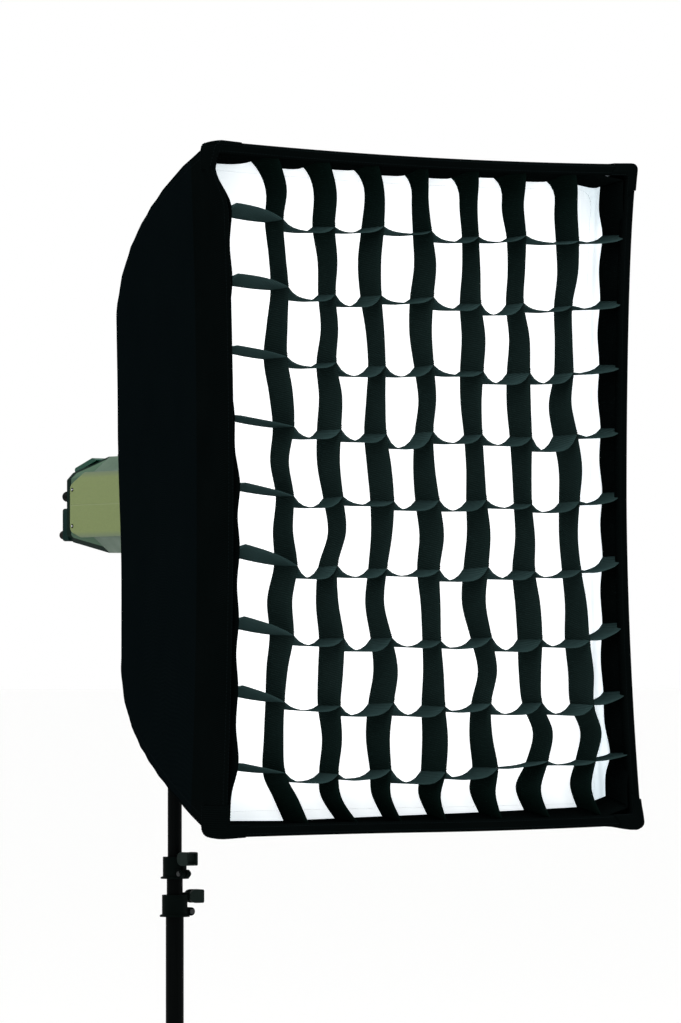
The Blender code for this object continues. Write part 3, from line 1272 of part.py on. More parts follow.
def build_grid():
    """The egg-crate grid: one lattice of loose cloth strips inside the lip."""
    shape = bmesh.new()
    layers = []
    for forward, slack in ((GRID_BACK, 0.4), (GRID_FRONT, 1.0)):
        layer = {}
        for column in range(-1, GRID_COLUMNS + 1):
            for row in range(-1, GRID_ROWS + 1):
                for place, point in grid_points(column, row, slack).items():
                    layer[column, row, place] = shape.verts.new((point.x, -forward, point.y))
        layers.append(layer)
    back, front = layers
    used = {}
    for face in grid_faces():
        shape.faces.new([back[key] for key in face])
        shape.faces.new([front[key] for key in face[::-1]])
        for index, key in enumerate(face):
            edge = (key, face[(index + 1) % len(face)])
            used[edge] = used.get(edge, 0) + 1
    for first, second in used:
        if (second, first) not in used:
            shape.faces.new((back[second], back[first], front[first], front[second]))
    add_piece("egg_crate_grid", close_up(shape), "grid_nylon", "softbox", smooth=30)


def centre_over_floor():
    """Move the whole assembly so that its bounding box stands centred on the origin."""
    graph = bpy.context.evaluated_depsgraph_get()
    places = []
    for piece in pieces.values():
        shown = piece.evaluated_get(graph)
        places += [shown.matrix_world @ vertex.co for vertex in shown.to_mesh().vertices]
        shown.to_mesh_clear()
    for axis in (0, 1):
        values = [place[axis] for place in places]
        bodies["floor_centre"].location[axis] = -(min(values) + max(values)) / 2


def main():
    """Build everything, then stand the bounding box over the origin."""
    clear_scene()
    add_finishes()
    build_bodies()
    build_tubes()
    build_clamp("lower", LOWER_RADIUS, MIDDLE_RADIUS)
    build_clamp("upper", MIDDLE_RADIUS, UPPER_RADIUS)
    build_crown()
    build_base()
    for side in LEG_AZIMUTHS:
        build_leg(side)
    build_bracket()
    build_housing()
    build_rear_cap()
    build_controls()
    build_power_block()
    build_front_mount()
    build_inner_pieces()
    build_speedring()
    build_softbox_cloth()
    build_grid()
    centre_over_floor()


main()
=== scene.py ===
# %% [markdown]
# # A studio flash head with a gridded softbox on a folding stand
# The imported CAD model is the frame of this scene. Its rigid pieces are already in the right places, so
# they stay and get real finishes. Its cloth is only a stiff stand-in, so the shell, the grid and the two
# white sheets are modelled again here as sewn cloth, and small fittings are added where a close look
# would find them.

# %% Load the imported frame
import json
import math

import bmesh
import bpy
from mathutils import Matrix, Vector


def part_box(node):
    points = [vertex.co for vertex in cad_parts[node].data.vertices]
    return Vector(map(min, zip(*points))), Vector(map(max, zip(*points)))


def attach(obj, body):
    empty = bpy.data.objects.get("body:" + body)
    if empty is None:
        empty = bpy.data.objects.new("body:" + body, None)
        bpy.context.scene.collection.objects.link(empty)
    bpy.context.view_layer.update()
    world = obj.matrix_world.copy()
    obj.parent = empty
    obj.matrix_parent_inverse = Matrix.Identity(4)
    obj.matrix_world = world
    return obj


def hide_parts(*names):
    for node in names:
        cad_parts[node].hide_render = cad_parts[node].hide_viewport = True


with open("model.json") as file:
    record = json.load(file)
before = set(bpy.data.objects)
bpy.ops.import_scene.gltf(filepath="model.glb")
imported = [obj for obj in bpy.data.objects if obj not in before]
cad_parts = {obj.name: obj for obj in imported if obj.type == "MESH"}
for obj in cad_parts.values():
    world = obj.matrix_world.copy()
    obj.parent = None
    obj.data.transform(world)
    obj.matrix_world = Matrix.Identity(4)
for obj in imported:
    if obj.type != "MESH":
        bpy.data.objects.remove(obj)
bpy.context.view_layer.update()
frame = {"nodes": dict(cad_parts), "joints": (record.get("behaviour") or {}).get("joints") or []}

# %% [markdown]
# ## Where things are
# Every length is in metres and every piece is made where the solid says it is. The softbox is symmetrical
# about the light's own axis, so it is easiest to draw it by three numbers: how far across, how far in
# front of the stand's column, and how far above the axis. One small function turns those into the frame.

# %% The light's axis and the softbox's main sizes


def middle(node):
    """The middle of a solid's box."""
    low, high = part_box(node)
    return (low + high) / 2


COLUMN_Y = middle("upper_tube").y
AXIS_Z = middle("speedring").z
FRONT_REACH = COLUMN_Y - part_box("softbox_shell")[0].y
WIDTH, HEIGHT = 0.75, 1.00
# Where the shell starts on the ring: how far in front of the column, and half its width there.
SHELL_START, SHELL_SEAT = 0.102, 0.062
# The straight part of the lip, the hem that is turned inside it, and the radius of its corners.
LIP_STRAIGHT, HEM_WIDTH, CORNER_RADIUS = 0.030, 0.018, 0.010
# How far the middle of a side draws in, on a side of one metre; it grows with the square of the side.
EDGE_DRAW = 0.0125
X, Y, Z = Vector((1, 0, 0)), Vector((0, 1, 0)), Vector((0, 0, 1))
FORWARD = Vector((0, -1, 0))


def at(across, forward, up):
    """A point by its place across, in front of the column, and above the light's axis."""
    return Vector((across, COLUMN_Y - forward, AXIS_Z + up))


print("axis at", round(AXIS_Z, 4), "lip", round(FRONT_REACH, 4), "in front of the column")

# %% [markdown]
# ## The camera
# The picture was taken with a long lens, level, from the light's own left. A level camera keeps uprights
# parallel; the frame is moved up or down with the lens shift instead of tilting. The focal length is kept
# in pixels of a picture 1023 high, because that is how it was measured, and turned to millimetres here.

# %% Place the camera


def put(name, data):
    """A new object in the scene, made from a camera, a light or a mesh."""
    thing = bpy.data.objects.new(name, data)
    bpy.context.scene.collection.objects.link(thing)
    return thing


VIEW_TURN = math.radians(35)
PICTURE_HEIGHT = 1023
FOCAL_PIXELS = 6526.5
DISTANCE = 9.568
SIDE_STEP, DROP = 0.134, 0.261
HORIZON_ROW = 671.4
ahead = Vector((math.sin(VIEW_TURN), math.cos(VIEW_TURN), 0))
right = Vector((math.cos(VIEW_TURN), -math.sin(VIEW_TURN), 0))
eye = at(0, FRONT_REACH, 0) - SIDE_STEP * right - DISTANCE * ahead - Vector((0, 0, DROP))
lens = bpy.data.cameras.new("long_lens")
lens.sensor_width = 36
lens.lens = FOCAL_PIXELS * lens.sensor_width / PICTURE_HEIGHT
lens.shift_y = (HORIZON_ROW - PICTURE_HEIGHT / 2) / PICTURE_HEIGHT
lens.clip_end = 1000
camera = put("camera", lens)
camera.matrix_world = Matrix((
    (right.x, 0, -ahead.x, eye.x), (right.y, 0, -ahead.y, eye.y), (0, 1, 0, eye.z), (0, 0, 0, 1),
))
bpy.context.scene.camera = camera
print("camera", [round(value, 3) for value in eye], "lens", round(lens.lens, 1), "mm")

# %% [markdown]
# ## Light
# A studio cut-out is lit softly from everywhere, so the world is an even white and large area lights only
# give the pieces a direction: one from above, which shows the upper faces of the grid's strips, and three
# from the sides. The plain colour transform keeps the white cloth white; a filmic one would turn it grey.

# %% Studio light
bpy.context.scene.view_settings.view_transform = "Standard"
world = bpy.data.worlds.new("white_studio")
world.use_nodes = True
sky = world.node_tree.nodes["Background"]
sky.inputs["Color"].default_value = (1.0, 1.0, 1.0, 1.0)
sky.inputs["Strength"].default_value = 1.0
bpy.context.scene.world = world
LIGHTS_AIM = Vector((0, 0, 1.2))
for name, place, size, power in (
    ("top_light", (0.2, -0.8, 5.5), 3.5, 260), ("key_light", (-3.0, -2.4, 3.4), 2.4, 50),
    ("fill_light", (3.2, -2.6, 2.2), 2.6, 25), ("back_light", (-1.6, 3.0, 3.0), 2.2, 50),
):
    panel = bpy.data.lights.new(name, "AREA")
    panel.size = size
    panel.energy = power
    lamp = put(name, panel)
    lamp.location = place
    lamp.rotation_euler = (LIGHTS_AIM - Vector(place)).to_track_quat("-Z", "Y").to_euler()

# %% [markdown]
# ## Tools for materials
# Colours are given as sRGB hex values, but a shader adds light in linear numbers, so one function
# converts them. Another fills a node's sockets with values or with other nodes' outputs, and a third adds a
# node that way in one line, which keeps each finish short enough to read. Pattern sizes are in millimetres.

# %% Colour and node helpers


def linear(hex_colour):
    """An sRGB hex colour as the linear numbers that a shader works in."""
    shares = [int(hex_colour[start:start + 2], 16) / 255 for start in (1, 3, 5)]
    return [part / 12.92 if part <= 0.04045 else ((part + 0.055) / 1.055) ** 2.4 for part in shares] + [1.0]


def feed(node, sockets):
    """Fill a node's sockets; each takes a plain value, or the output of another node."""
    for key, value in sockets.items():
        if isinstance(value, bpy.types.NodeSocket):
            node.id_data.links.new(value, node.inputs[key])
        else:
            node.inputs[key].default_value = value


def add(tree, kind, sockets=None, **settings):
    """Add a shader node with its settings and its sockets."""
    made = tree.nodes.new("ShaderNode" + kind)
    for name, value in settings.items():
        setattr(made, name, value)
    feed(made, sockets or {})
    return made


def start_finish(name, colour, roughness, sockets=None):
    """A new material with its colour and gloss; returns it, its tree, its shader and the object's place."""
    finish = bpy.data.materials.new(name)
    finish.use_nodes = True
    shader = finish.node_tree.nodes["Principled BSDF"]
    feed(shader, {"Base Color": linear(colour), "Roughness": roughness})
    feed(shader, sockets or {})
    return finish, finish.node_tree, shader, add(finish.node_tree, "TexCoord").outputs["Object"]


def per_metre(size_mm):
    """How many grains of a size fit in a metre: the scale of a noise texture."""
    return 1000 / size_mm


def bands(spacing_mm):
    """The scale of a wave texture whose bands are this far apart; its own wave is a tenth of pi long."""
    return math.pi / 10 / (spacing_mm / 1000)


print("helpers ready; mid grey is", [round(value, 3) for value in linear("#808080")])

# %% [markdown]
# ## Hard finishes
# Paint, moulded plastic and castings share three things: a fine grain, a gloss that varies a little from
# handling, and edges that are never razor sharp. The grain is a noise at its real size. The edges come
# from the Bevel node, which rounds the normal near an edge without touching the mesh; where that rounded
# normal leaves the true one there is an edge, and a slightly paler shade there reads as wear.

# %% A maker for hard finishes
MATT = {"Specular IOR Level": 0.03}
DEEP = {"Specular IOR Level": 0.008}
SATIN = {"Specular IOR Level": 0.10}
METAL = {"Metallic": 1.0}


def hard_finish(name, colour, second, rough, grain_mm, depth_mm, edge=None, edge_mm=0.5, sockets=MATT):
    """A hard surface: two close shades in patches, fine grain, varied gloss and softened, worn edges."""
    finish, tree, shader, place = start_finish(name, colour, rough, sockets)
    patches = add(tree, "TexNoise", {"Vector": place, "Scale": per_metre(35), "Detail": 5.0})
    shade = add(
        tree, "Mix", {0: patches.outputs["Fac"], 6: linear(colour), 7: linear(second)}, data_type="RGBA"
    ).outputs[2]
    soft = add(tree, "Bevel", {"Radius": edge_mm / 1000}, samples=4)
    if edge:
        true = add(tree, "NewGeometry")
        agree = add(
            tree, "VectorMath", {0: soft.outputs["Normal"], 1: true.outputs["True Normal"]},
            operation="DOT_PRODUCT",
        )
        worn = add(
            tree, "MapRange",
            {"Value": agree.outputs["Value"], "From Min": 0.97, "From Max": 0.80, "To Max": 0.7},
        )
        chips = add(tree, "TexNoise", {"Vector": place, "Scale": per_metre(6), "Detail": 4.0})
        share = add(tree, "Math", {0: worn.outputs[0], 1: chips.outputs["Fac"]}, operation="MULTIPLY")
        shade = add(
            tree, "Mix", {0: share.outputs[0], 6: shade, 7: linear(edge)}, data_type="RGBA"
        ).outputs[2]
    gloss = add(
        tree, "MapRange",
        {"Value": patches.outputs["Fac"], "From Min": 0.3, "From Max": 0.7, "To Min": rough - 0.06,
         "To Max": rough + 0.08},
    )
    fine = add(tree, "TexNoise", {"Vector": place, "Scale": per_metre(grain_mm), "Detail": 3.0})
    bump = add(
        tree, "Bump",
        {"Height": fine.outputs["Fac"], "Normal": soft.outputs["Normal"], "Distance": depth_mm / 1000,
         "Strength": 0.7},
    )
    feed(shader, {"Base Color": shade, "Roughness": gloss.outputs[0], "Normal": bump.outputs["Normal"]})
    return finish


# %% Moulded plastics and rubber
finishes = {}
# Glass-filled nylon, moulded: black, a little speckled, satin rather than glossy.
finishes["clamp_plastic"] = hard_finish(
    "glass_filled_nylon", "#020504", "#060b0a", 0.50, 0.9, 0.05, "#1c2421", 0.6, DEEP)
# The same nylon on the two clamp levers, which hands have rubbed to a greyer black.
lever_nylon = hard_finish(
    "rubbed_nylon", "#0b1311", "#131c19", 0.50, 0.9, 0.05, "#3c4643", 0.6)
# ABS knobs, moulded and polished by fingers: near black with a soft highlight.
finishes["knob_plastic"] = hard_finish(
    "moulded_abs_knob", "#030605", "#080d0b", 0.38, 0.7, 0.03, "#1c2421", 0.5, DEEP)
# ABS rear cap with a spark-eroded grain, which scatters the light evenly.
finishes["dark_plastic"] = hard_finish(
    "grained_abs_cap", "#06120e", "#0b1a15", 0.55, 0.8, 0.06, "#1c2e26", 0.5, DEEP)
# ABS of the carry handle, coloured through and glossy, so it shows a clear highlight.
finishes["teal_plastic"] = hard_finish(
    "glossy_teal_abs", "#0c3a2c", "#093024", 0.26, 1.2, 0.01, "#356b58", 0.5, {"Specular IOR Level": 0.07})
# ABS of the power block and control plate, moulded with a fine matt grain.
finishes["block_plastic"] = hard_finish(
    "matt_blue_grey_abs", "#081816", "#0d201e", 0.52, 0.7, 0.05, "#2b3f3d", 0.5, DEEP)
# Glass-filled polyester of the small fan, plain and matt.
finishes["fan_plastic"] = hard_finish("fan_polyester", "#151516", "#1c1c1e", 0.5, 0.8, 0.03)
# Natural rubber, moulded: no gloss, a dusty bloom on its faces.
finishes["rubber"] = hard_finish("bloomed_rubber", "#0c0c0c", "#191817", 0.82, 1.1, 0.08, "#302e2c", 0.8)
print("plastics:", sorted(finishes))

# %% Castings, sprayed metal and electrical pieces
# Die-cast aluminium with black powder coat: the pebbled skin of baked powder.
finishes["black_casting"] = hard_finish(
    "powder_coated_casting", "#0b0d0d", "#131515", 0.45, 1.4, 0.10, "#4c4e4f", 0.6)
# Grey-green powder coat on the casing: even, satin, with a very slight orange peel.
finishes["grey_paint"] = hard_finish(
    "grey_green_powder_coat", "#334738", "#2d4032", 0.42, 1.6, 0.05, "#63756a", 0.6, SATIN)
# Zinc-plated steel of bolts and the stud: bright metal with a greyish cast.
finishes["bright_steel"] = hard_finish(
    "zinc_plated_steel", "#a8aaac", "#94979a", 0.30, 2.0, 0.01, "#d0d2d4", 0.4, METAL)
# Black oxide on the clamp bolts: steel that has been blackened in a hot bath, dark with a dull shine.
blackened_steel = hard_finish(
    "black_oxide_steel", "#2b2d2d", "#363838", 0.42, 1.5, 0.02, "#6a6c6c", 0.4, METAL)
# Spring steel of the four rods, drawn and oiled.
finishes["spring_steel"] = hard_finish(
    "drawn_spring_steel", "#77797b", "#696b6e", 0.34, 3.0, 0.01, None, 0.3, METAL)
# Spun and polished aluminium of the reflector behind the tube.
finishes["reflector_metal"] = hard_finish(
    "spun_aluminium", "#d4d6d8", "#c8cacc", 0.18, 1.0, 0.02, None, 0.3, METAL)
# Glass-fibre laminate under a green mask, glossy as varnish.
finishes["board_laminate"] = hard_finish("masked_laminate", "#225434", "#1d4a2e", 0.30, 0.5, 0.02, "#9c9a62")
# Shrunk vinyl sleeve on the capacitor, smooth with slight waves.
finishes["capacitor_sleeve"] = hard_finish("shrunk_vinyl", "#283460", "#2e3a68", 0.28, 6.0, 0.05)
print("metals and boards:", len(finishes), "finishes so far")

# %% [markdown]
# ## Anodised tubes
# The stand's tubes are drawn aluminium, black anodised. Drawing leaves fine lines along the tube, and each
# section has been pushed in and out of the next, which polishes long streaks. A noise that is stretched
# along the height gives both; it is drawn coarser than the real lines, which are finer than a pixel.

# %% Anodised tube finish
finish, tree, shader, place = start_finish(
    "black_anodised_tube", "#020303", 0.36, {"Specular IOR Level": 0.012})
drawn_out = add(tree, "Mapping", {"Vector": place, "Scale": (1.0, 1.0, 0.02)})
lines = add(tree, "TexNoise", {"Vector": drawn_out.outputs[0], "Scale": per_metre(1.5), "Detail": 4.0})
streak = add(
    tree, "Mix", {0: lines.outputs["Fac"], 6: linear("#010202"), 7: linear("#050707")}, data_type="RGBA")
gloss = add(tree, "MapRange", {"Value": lines.outputs["Fac"], "To Min": 0.26, "To Max": 0.50})
bump = add(tree, "Bump", {"Height": lines.outputs["Fac"], "Distance": 0.00004, "Strength": 0.6})
feed(shader, {
    "Base Color": streak.outputs[2], "Roughness": gloss.outputs[0], "Normal": bump.outputs["Normal"]})
finishes["black_tube"] = finish
print("tubes:", finish.name)

# %% [markdown]
# ## Champagne side panels
# The two side plates are aluminium sheet, sprayed with a warm gold-green metallic paint. Metallic paint is
# tiny flakes in a clear coat: the flakes tilt, so brightness changes from grain to grain, and the coat adds
# one smooth reflection. A single scored line runs along each plate at the height of the light's axis.

# %% Metallic paint
finish, tree, shader, place = start_finish(
    "champagne_metallic_paint", "#546132", 0.40,
    {"Metallic": 0.2, "Specular IOR Level": 0.2, "Coat Weight": 0.15, "Coat Roughness": 0.12})
flakes = add(tree, "TexVoronoi", {"Vector": place, "Scale": per_metre(0.9)})
bright = add(tree, "SeparateColor", {"Color": flakes.outputs["Color"]})
shade = add(
    tree, "Mix", {0: bright.outputs[0], 6: linear("#505d2d"), 7: linear("#5a6735")}, data_type="RGBA")
height = add(tree, "SeparateXYZ", {"Vector": place})
off_line = add(tree, "Math", {0: height.outputs["Z"], 1: AXIS_Z}, operation="SUBTRACT")
off_line = add(tree, "Math", {0: off_line.outputs[0]}, operation="ABSOLUTE")
groove = add(tree, "MapRange", {"Value": off_line.outputs[0], "From Min": 0.0002, "From Max": 0.0007})
# The long edges of the plate are rolled over; the colour greys there, a painted reflection of the
# surroundings on the turning face.
edge_reflection = add(tree, "MapRange", {"Value": off_line.outputs[0], "From Min": 0.042, "From Max": 0.053})
shade = add(
    tree, "Mix", {0: edge_reflection.outputs[0], 6: shade.outputs[2], 7: linear("#42503f")}, data_type="RGBA")
soft = add(tree, "Bevel", {"Radius": 0.0006}, samples=4)
bump = add(
    tree, "Bump", {"Height": groove.outputs[0], "Normal": soft.outputs["Normal"], "Distance": 0.0004})
feed(shader, {"Base Color": shade.outputs[2], "Normal": bump.outputs["Normal"]})
finishes["champagne_paint"] = finish
print("panels:", finish.name)

# %% [markdown]
# ## Two-tone rear cap
# The cap is moulded in dark ABS, and its cheeks are sprayed in the casing's grey-green so that the casing
# seems to run on. Only a rim stays bare along the rear edge and the two slopes. The rim is drawn by
# distance from those three lines, seen from the side: the smallest distance decides.

# %% Sprayed cheeks of the cap
CAP_RISE, CAP_TOP, CAP_BOTTOM = 0.0755, 0.052, 0.058
cap_low, cap_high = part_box("rear_cap")
finish = hard_finish("sprayed_abs_cap", "#06120e", "#0b1a15", 0.55, 0.8, 0.06, "#12201a", 0.5, DEEP)
tree, shader = finish.node_tree, finish.node_tree.nodes["Principled BSDF"]
bare = shader.inputs["Base Color"].links[0].from_socket
place = add(tree, "SeparateXYZ", {"Vector": add(tree, "TexCoord").outputs["Object"]})
depth = None
for edge_rise, side, rim in ((None, 0, 0.013), (CAP_TOP, 1, 0.0045), (CAP_BOTTOM, -1, 0.0095)):
    # Each line is given by a point on it and the direction that leads away from it into the cap.
    corner = Vector((cap_high.y, AXIS_Z + side * (edge_rise or 0)))
    inward = Vector((-1, 0))
    if side:
        slope = Vector((cap_low.y, AXIS_Z + side * CAP_RISE)) - corner
        inward = (Vector((slope.y, -slope.x)) * -side).normalized()
    reach = add(
        tree, "VectorMath",
        {0: add(tree, "CombineXYZ", {"Y": place.outputs["Y"], "Z": place.outputs["Z"]}).outputs[0],
         1: (0, inward.x, inward.y)}, operation="DOT_PRODUCT")
    reach = add(tree, "Math", {0: reach.outputs["Value"], 1: corner.dot(inward) + rim}, operation="SUBTRACT")
    depth = reach if depth is None else add(
        tree, "Math", {0: depth.outputs[0], 1: reach.outputs[0]}, operation="MINIMUM")
sprayed = add(tree, "MapRange", {"Value": depth.outputs[0], "From Min": 0.0, "From Max": 0.0008})
shade = add(tree, "Mix", {0: sprayed.outputs[0], 6: bare, 7: linear("#394c3e")}, data_type="RGBA")
feed(shader, {"Base Color": shade.outputs[2]})
cap_finish = finish
print("cap:", cap_finish.name)

# %% [markdown]
# ## Glass and the sensor's dome
# The flash tube and the lamp are frosted glass, seen as a milky surface; the sensor's dome is smoked
# polycarbonate, almost black, that lets a little light in. Both keep a real index of refraction, and slight
# waves in the surface break the reflections so that they don't look computed.

# %% Glass finishes
for slot, name, colour, through, index, rough in (
    ("lamp_glass", "frosted_glass", "#eef0f0", 0.55, 1.52, 0.22),
    ("sensor_plastic", "smoked_polycarbonate", "#101615", 0.15, 1.58, 0.10),
):
    finish, tree, shader, place = start_finish(
        name, colour, rough, {"Transmission Weight": through, "IOR": index})
    waves = add(tree, "TexNoise", {"Vector": place, "Scale": per_metre(5.0), "Detail": 2.0})
    bump = add(tree, "Bump", {"Height": waves.outputs["Fac"], "Distance": 0.0001, "Strength": 0.3})
    feed(shader, {"Normal": bump.outputs["Normal"]})
    finishes[slot] = finish
print("glass:", finishes["lamp_glass"].name, finishes["sensor_plastic"].name)

# %% [markdown]
# ## Cloth finishes
# The cloth is nylon, with polyester tape and thread. Woven cloth shows crossing threads, tape shows ribs.
# The threads of the real shell are about half a millimetre apart, finer than a pixel of this picture, so
# the weave is drawn 3 mm apart and the ribs 3.2 mm apart. The pattern lies on each sheet's own UV map,
# which is in metres, so it follows the folds.

# %% A maker for cloth finishes


def cloth_finish(name, colour, second, rough, thread_mm, relief, ribs_only=False, sockets=None):
    """Cloth with its threads as bump, in two close shades that drift over a hand's width."""
    finish, tree, shader, place = start_finish(name, colour, rough, sockets)
    laid = add(tree, "UVMap").outputs["UV"]
    threads = None
    for direction in "X" if ribs_only else "XY":
        wave = add(
            tree, "TexWave", {"Vector": laid, "Scale": bands(thread_mm), "Distortion": 0.6, "Detail": 1.0},
            bands_direction=direction,
        ).outputs["Fac"]
        threads = wave if threads is None else add(
            tree, "Math", {0: threads, 1: wave}, operation="MULTIPLY").outputs[0]
    drift = add(tree, "TexNoise", {"Vector": place, "Scale": per_metre(90), "Detail": 6.0})
    mixed = add(tree, "Math", {0: threads, 1: drift.outputs["Fac"]}, operation="MULTIPLY")
    shade = add(
        tree, "Mix", {0: mixed.outputs[0], 6: linear(colour), 7: linear(second)}, data_type="RGBA")
    bump = add(
        tree, "Bump", {"Height": threads, "Distance": thread_mm / 1000 / 4, "Strength": relief})
    feed(shader, {"Base Color": shade.outputs[2], "Normal": bump.outputs["Normal"]})
    return finish


# %% Nylon finishes
DULL = {"Specular IOR Level": 0.0}
# Coated black nylon: the coating fills the weave, so it hardly shines and reads almost black.
shell_nylon = cloth_finish("coated_black_nylon", "#030607", "#090e0f", 0.70, 3.0, 0.30, False, DULL)
# Polyester binding tape round the hem and seams: blacker, with ribs.
hem_tape = cloth_finish("black_binding_tape", "#020404", "#070a0a", 0.75, 3.2, 0.30, True, DULL)
# Ribbed tape of the grid: charcoal, each rib catching the light of the sheet behind it.
grid_tape = cloth_finish("ribbed_grid_tape", "#0d1716", "#1c2827", 0.80, 3.2, 0.50, True, DULL)
# A paler copy of the same tape for the cross strips: painted light, standing for the lamp above on their
# upper faces.
lit_cross_tape = cloth_finish("painted_light_grid_tape", "#182625", "#314344", 0.80, 3.2, 0.50, True, DULL)
# Silver-coated nylon inside the shell, which throws the light forward.
lining = cloth_finish(
    "silver_coated_nylon", "#b9bcbe", "#d3d6d8", 0.38, 3.0, 0.30, False, {"Metallic": 0.8})
# Polyester sewing thread, a shade paler than the cloth so that the seams show.
thread = cloth_finish("black_sewing_thread", "#0c1112", "#1a2021", 0.60, 0.8, 0.30, True, DULL)
for cloth in (shell_nylon, hem_tape, grid_tape, lit_cross_tape, lining, thread):
    print("cloth:", cloth.name)

# %% [markdown]
# ## The glowing front
# The front sheet is white nylon lit from behind by the lamp. It is bright all over and a little cooler and
# dimmer towards its edges, where less light arrives. A constant emission gives the glow, and a gradient
# over the sheet's own place gives the fall-off, so it stays the same from every side.

# %% White diffusion nylon
# The higher this power, the closer the fall-off keeps to the sheet's edge.
EDGE_POWER = 8.0
glow = cloth_finish(
    "white_diffusion_nylon", "#f4f6f8", "#ffffff", 0.70, 2.5, 0.10, False,
    {"Emission Strength": 0.80, "Specular IOR Level": 0.2})
tree = glow.node_tree
place = add(tree, "TexCoord").outputs["Object"]
spot = add(tree, "SeparateXYZ", {"Vector": place})
across = add(tree, "Math", {0: spot.outputs["X"], 1: 2 / WIDTH}, operation="MULTIPLY")
upward = add(tree, "Math", {0: spot.outputs["Z"], 1: AXIS_Z}, operation="SUBTRACT")
upward = add(tree, "Math", {0: upward.outputs[0], 1: 2 / HEIGHT}, operation="MULTIPLY")
reach = add(tree, "Math", {0: across.outputs[0], 1: EDGE_POWER}, operation="POWER")
climb = add(tree, "Math", {0: upward.outputs[0], 1: EDGE_POWER}, operation="POWER")
edge = add(tree, "Math", {0: reach.outputs[0], 1: climb.outputs[0]}, operation="ADD", use_clamp=True)
light = add(
    tree, "Mix", {0: edge.outputs[0], 6: linear("#ffffff"), 7: linear("#c4d2d8")}, data_type="RGBA")
feed(tree.nodes["Principled BSDF"], {"Emission Color": light.outputs[2]})
plain_white = cloth_finish("white_baffle_nylon", "#eceeef", "#fbfcfc", 0.70, 2.5, 0.15)
print("white cloth:", glow.name, plain_white.name)

# %% [markdown]
# ## Dress the rigid solids
# Each solid keeps its mesh and gets its finish by the name of its slot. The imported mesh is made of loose
# flat triangles, so round pieces would look faceted. A small geometry-nodes modifier welds the triangles
# and smooths across shallow edges; it works on a copy at render time and the solid stays as it is.

# %% Smooth the solids and assign finishes
SMOOTH_UP_TO = math.radians(34)
weld = bpy.data.node_groups.new("weld_and_smooth", "GeometryNodeTree")
weld.interface.new_socket("Geometry", in_out="INPUT", socket_type="NodeSocketGeometry")
weld.interface.new_socket("Geometry", in_out="OUTPUT", socket_type="NodeSocketGeometry")
steps = [
    weld.nodes.new(kind) for kind in (
        "NodeGroupInput", "GeometryNodeRemoveAttribute", "GeometryNodeMergeByDistance",
        "GeometryNodeSetShadeSmooth", "GeometryNodeSetShadeSmooth", "NodeGroupOutput")
]
for step, following in zip(steps, steps[1:]):
    weld.links.new(step.outputs[0], following.inputs[0])
steps[1].inputs["Name"].default_value = "custom_normal"
steps[2].inputs["Distance"].default_value = 0.00001
steps[3].inputs["Shade Smooth"].default_value = True
steps[4].domain = "EDGE"
steps[4].inputs["Shade Smooth"].default_value = False
bend = weld.nodes.new("GeometryNodeInputMeshEdgeAngle")
sharp = weld.nodes.new("FunctionNodeCompare")
sharp.operation = "GREATER_THAN"
sharp.inputs[1].default_value = SMOOTH_UP_TO
weld.links.new(bend.outputs["Unsigned Angle"], sharp.inputs[0])
weld.links.new(sharp.outputs[0], steps[4].inputs["Selection"])

SOFT_NODES = ("softbox_shell", "front_diffuser", "inner_baffle", "egg_crate_grid")
for name, solid in frame["nodes"].items():
    if name in SOFT_NODES:
        continue
    solid.material_slots[0].material = finishes[solid.material_slots[0].material.name]
    solid.modifiers.new("weld_and_smooth", "NODES").node_group = weld
frame["nodes"]["rear_cap"].material_slots[0].material = cap_finish
for clamp in ("lower_clamp_", "upper_clamp_"):
    frame["nodes"][clamp + "bolt"].material_slots[0].material = blackened_steel
    frame["nodes"][clamp + "lever"].material_slots[0].material = lever_nylon
print("dressed", len(frame["nodes"]) - len(SOFT_NODES), "solids")

# %% [markdown]
# ## Tools for cloth
# A sheet of cloth is a grid of points with a UV map in metres, so that its threads keep their size. A cord
# or a seam's piping is a ring of points carried along a path. A stitch is a tiny four-sided dome; hundreds
# of them in a row make a seam. Helpers for these three build every sewn piece below.

# %% Sheet, cord and stitch helpers


def turns(count):
    """The angles of a full turn in equal steps."""
    return [2 * math.pi * step / count for step in range(count)]


def run_lengths(points):
    """The distance of each point along a line of points."""
    total = [0.0]
    for here, there in zip(points, points[1:]):
        total.append(total[-1] + (there - here).length)
    return total


def lay_sheet(shape, rows, closed=False, finish=0):
    """Add a sheet of quads from rows of points, with its UV in metres."""
    layer = shape.loops.layers.uv.verify()
    corners = [[shape.verts.new(point) for point in row] for row in rows]
    if closed:
        rows = [row + row[:1] for row in rows]
        corners = [row + row[:1] for row in corners]
    along = [run_lengths(row) for row in rows]
    down = [run_lengths(column) for column in zip(*rows)]
    for i in range(len(rows) - 1):
        for j in range(len(rows[0]) - 1):
            keys = ((i, j), (i, j + 1), (i + 1, j + 1), (i + 1, j))
            face = shape.faces.new([corners[a][b] for a, b in keys])
            face.smooth = True
            face.material_index = finish
            for loop, (a, b) in zip(face.loops, keys):
                loop[layer].uv = (along[a][b], down[b][a])
    return corners


def lay_cord(shape, path, radius, sides=6):
    """Add a round cord along a path of points."""
    last = len(path) - 1
    tangents = [(path[min(i + 1, last)] - path[max(i - 1, 0)]).normalized() for i in range(len(path))]
    side = tangents[0].orthogonal().normalized()
    rings = []
    for point, tangent in zip(path, tangents):
        side = (side - tangent * side.dot(tangent)).normalized()
        other = tangent.cross(side)
        rings.append([point + radius * (side * math.cos(a) + other * math.sin(a)) for a in turns(sides)])
    corners = lay_sheet(shape, rings, True)
    shape.faces.new(corners[0][:sides][::-1])
    shape.faces.new(corners[-1][:sides])


# A stitch stands as high as this share of its width.
STITCH_RISE = 0.6


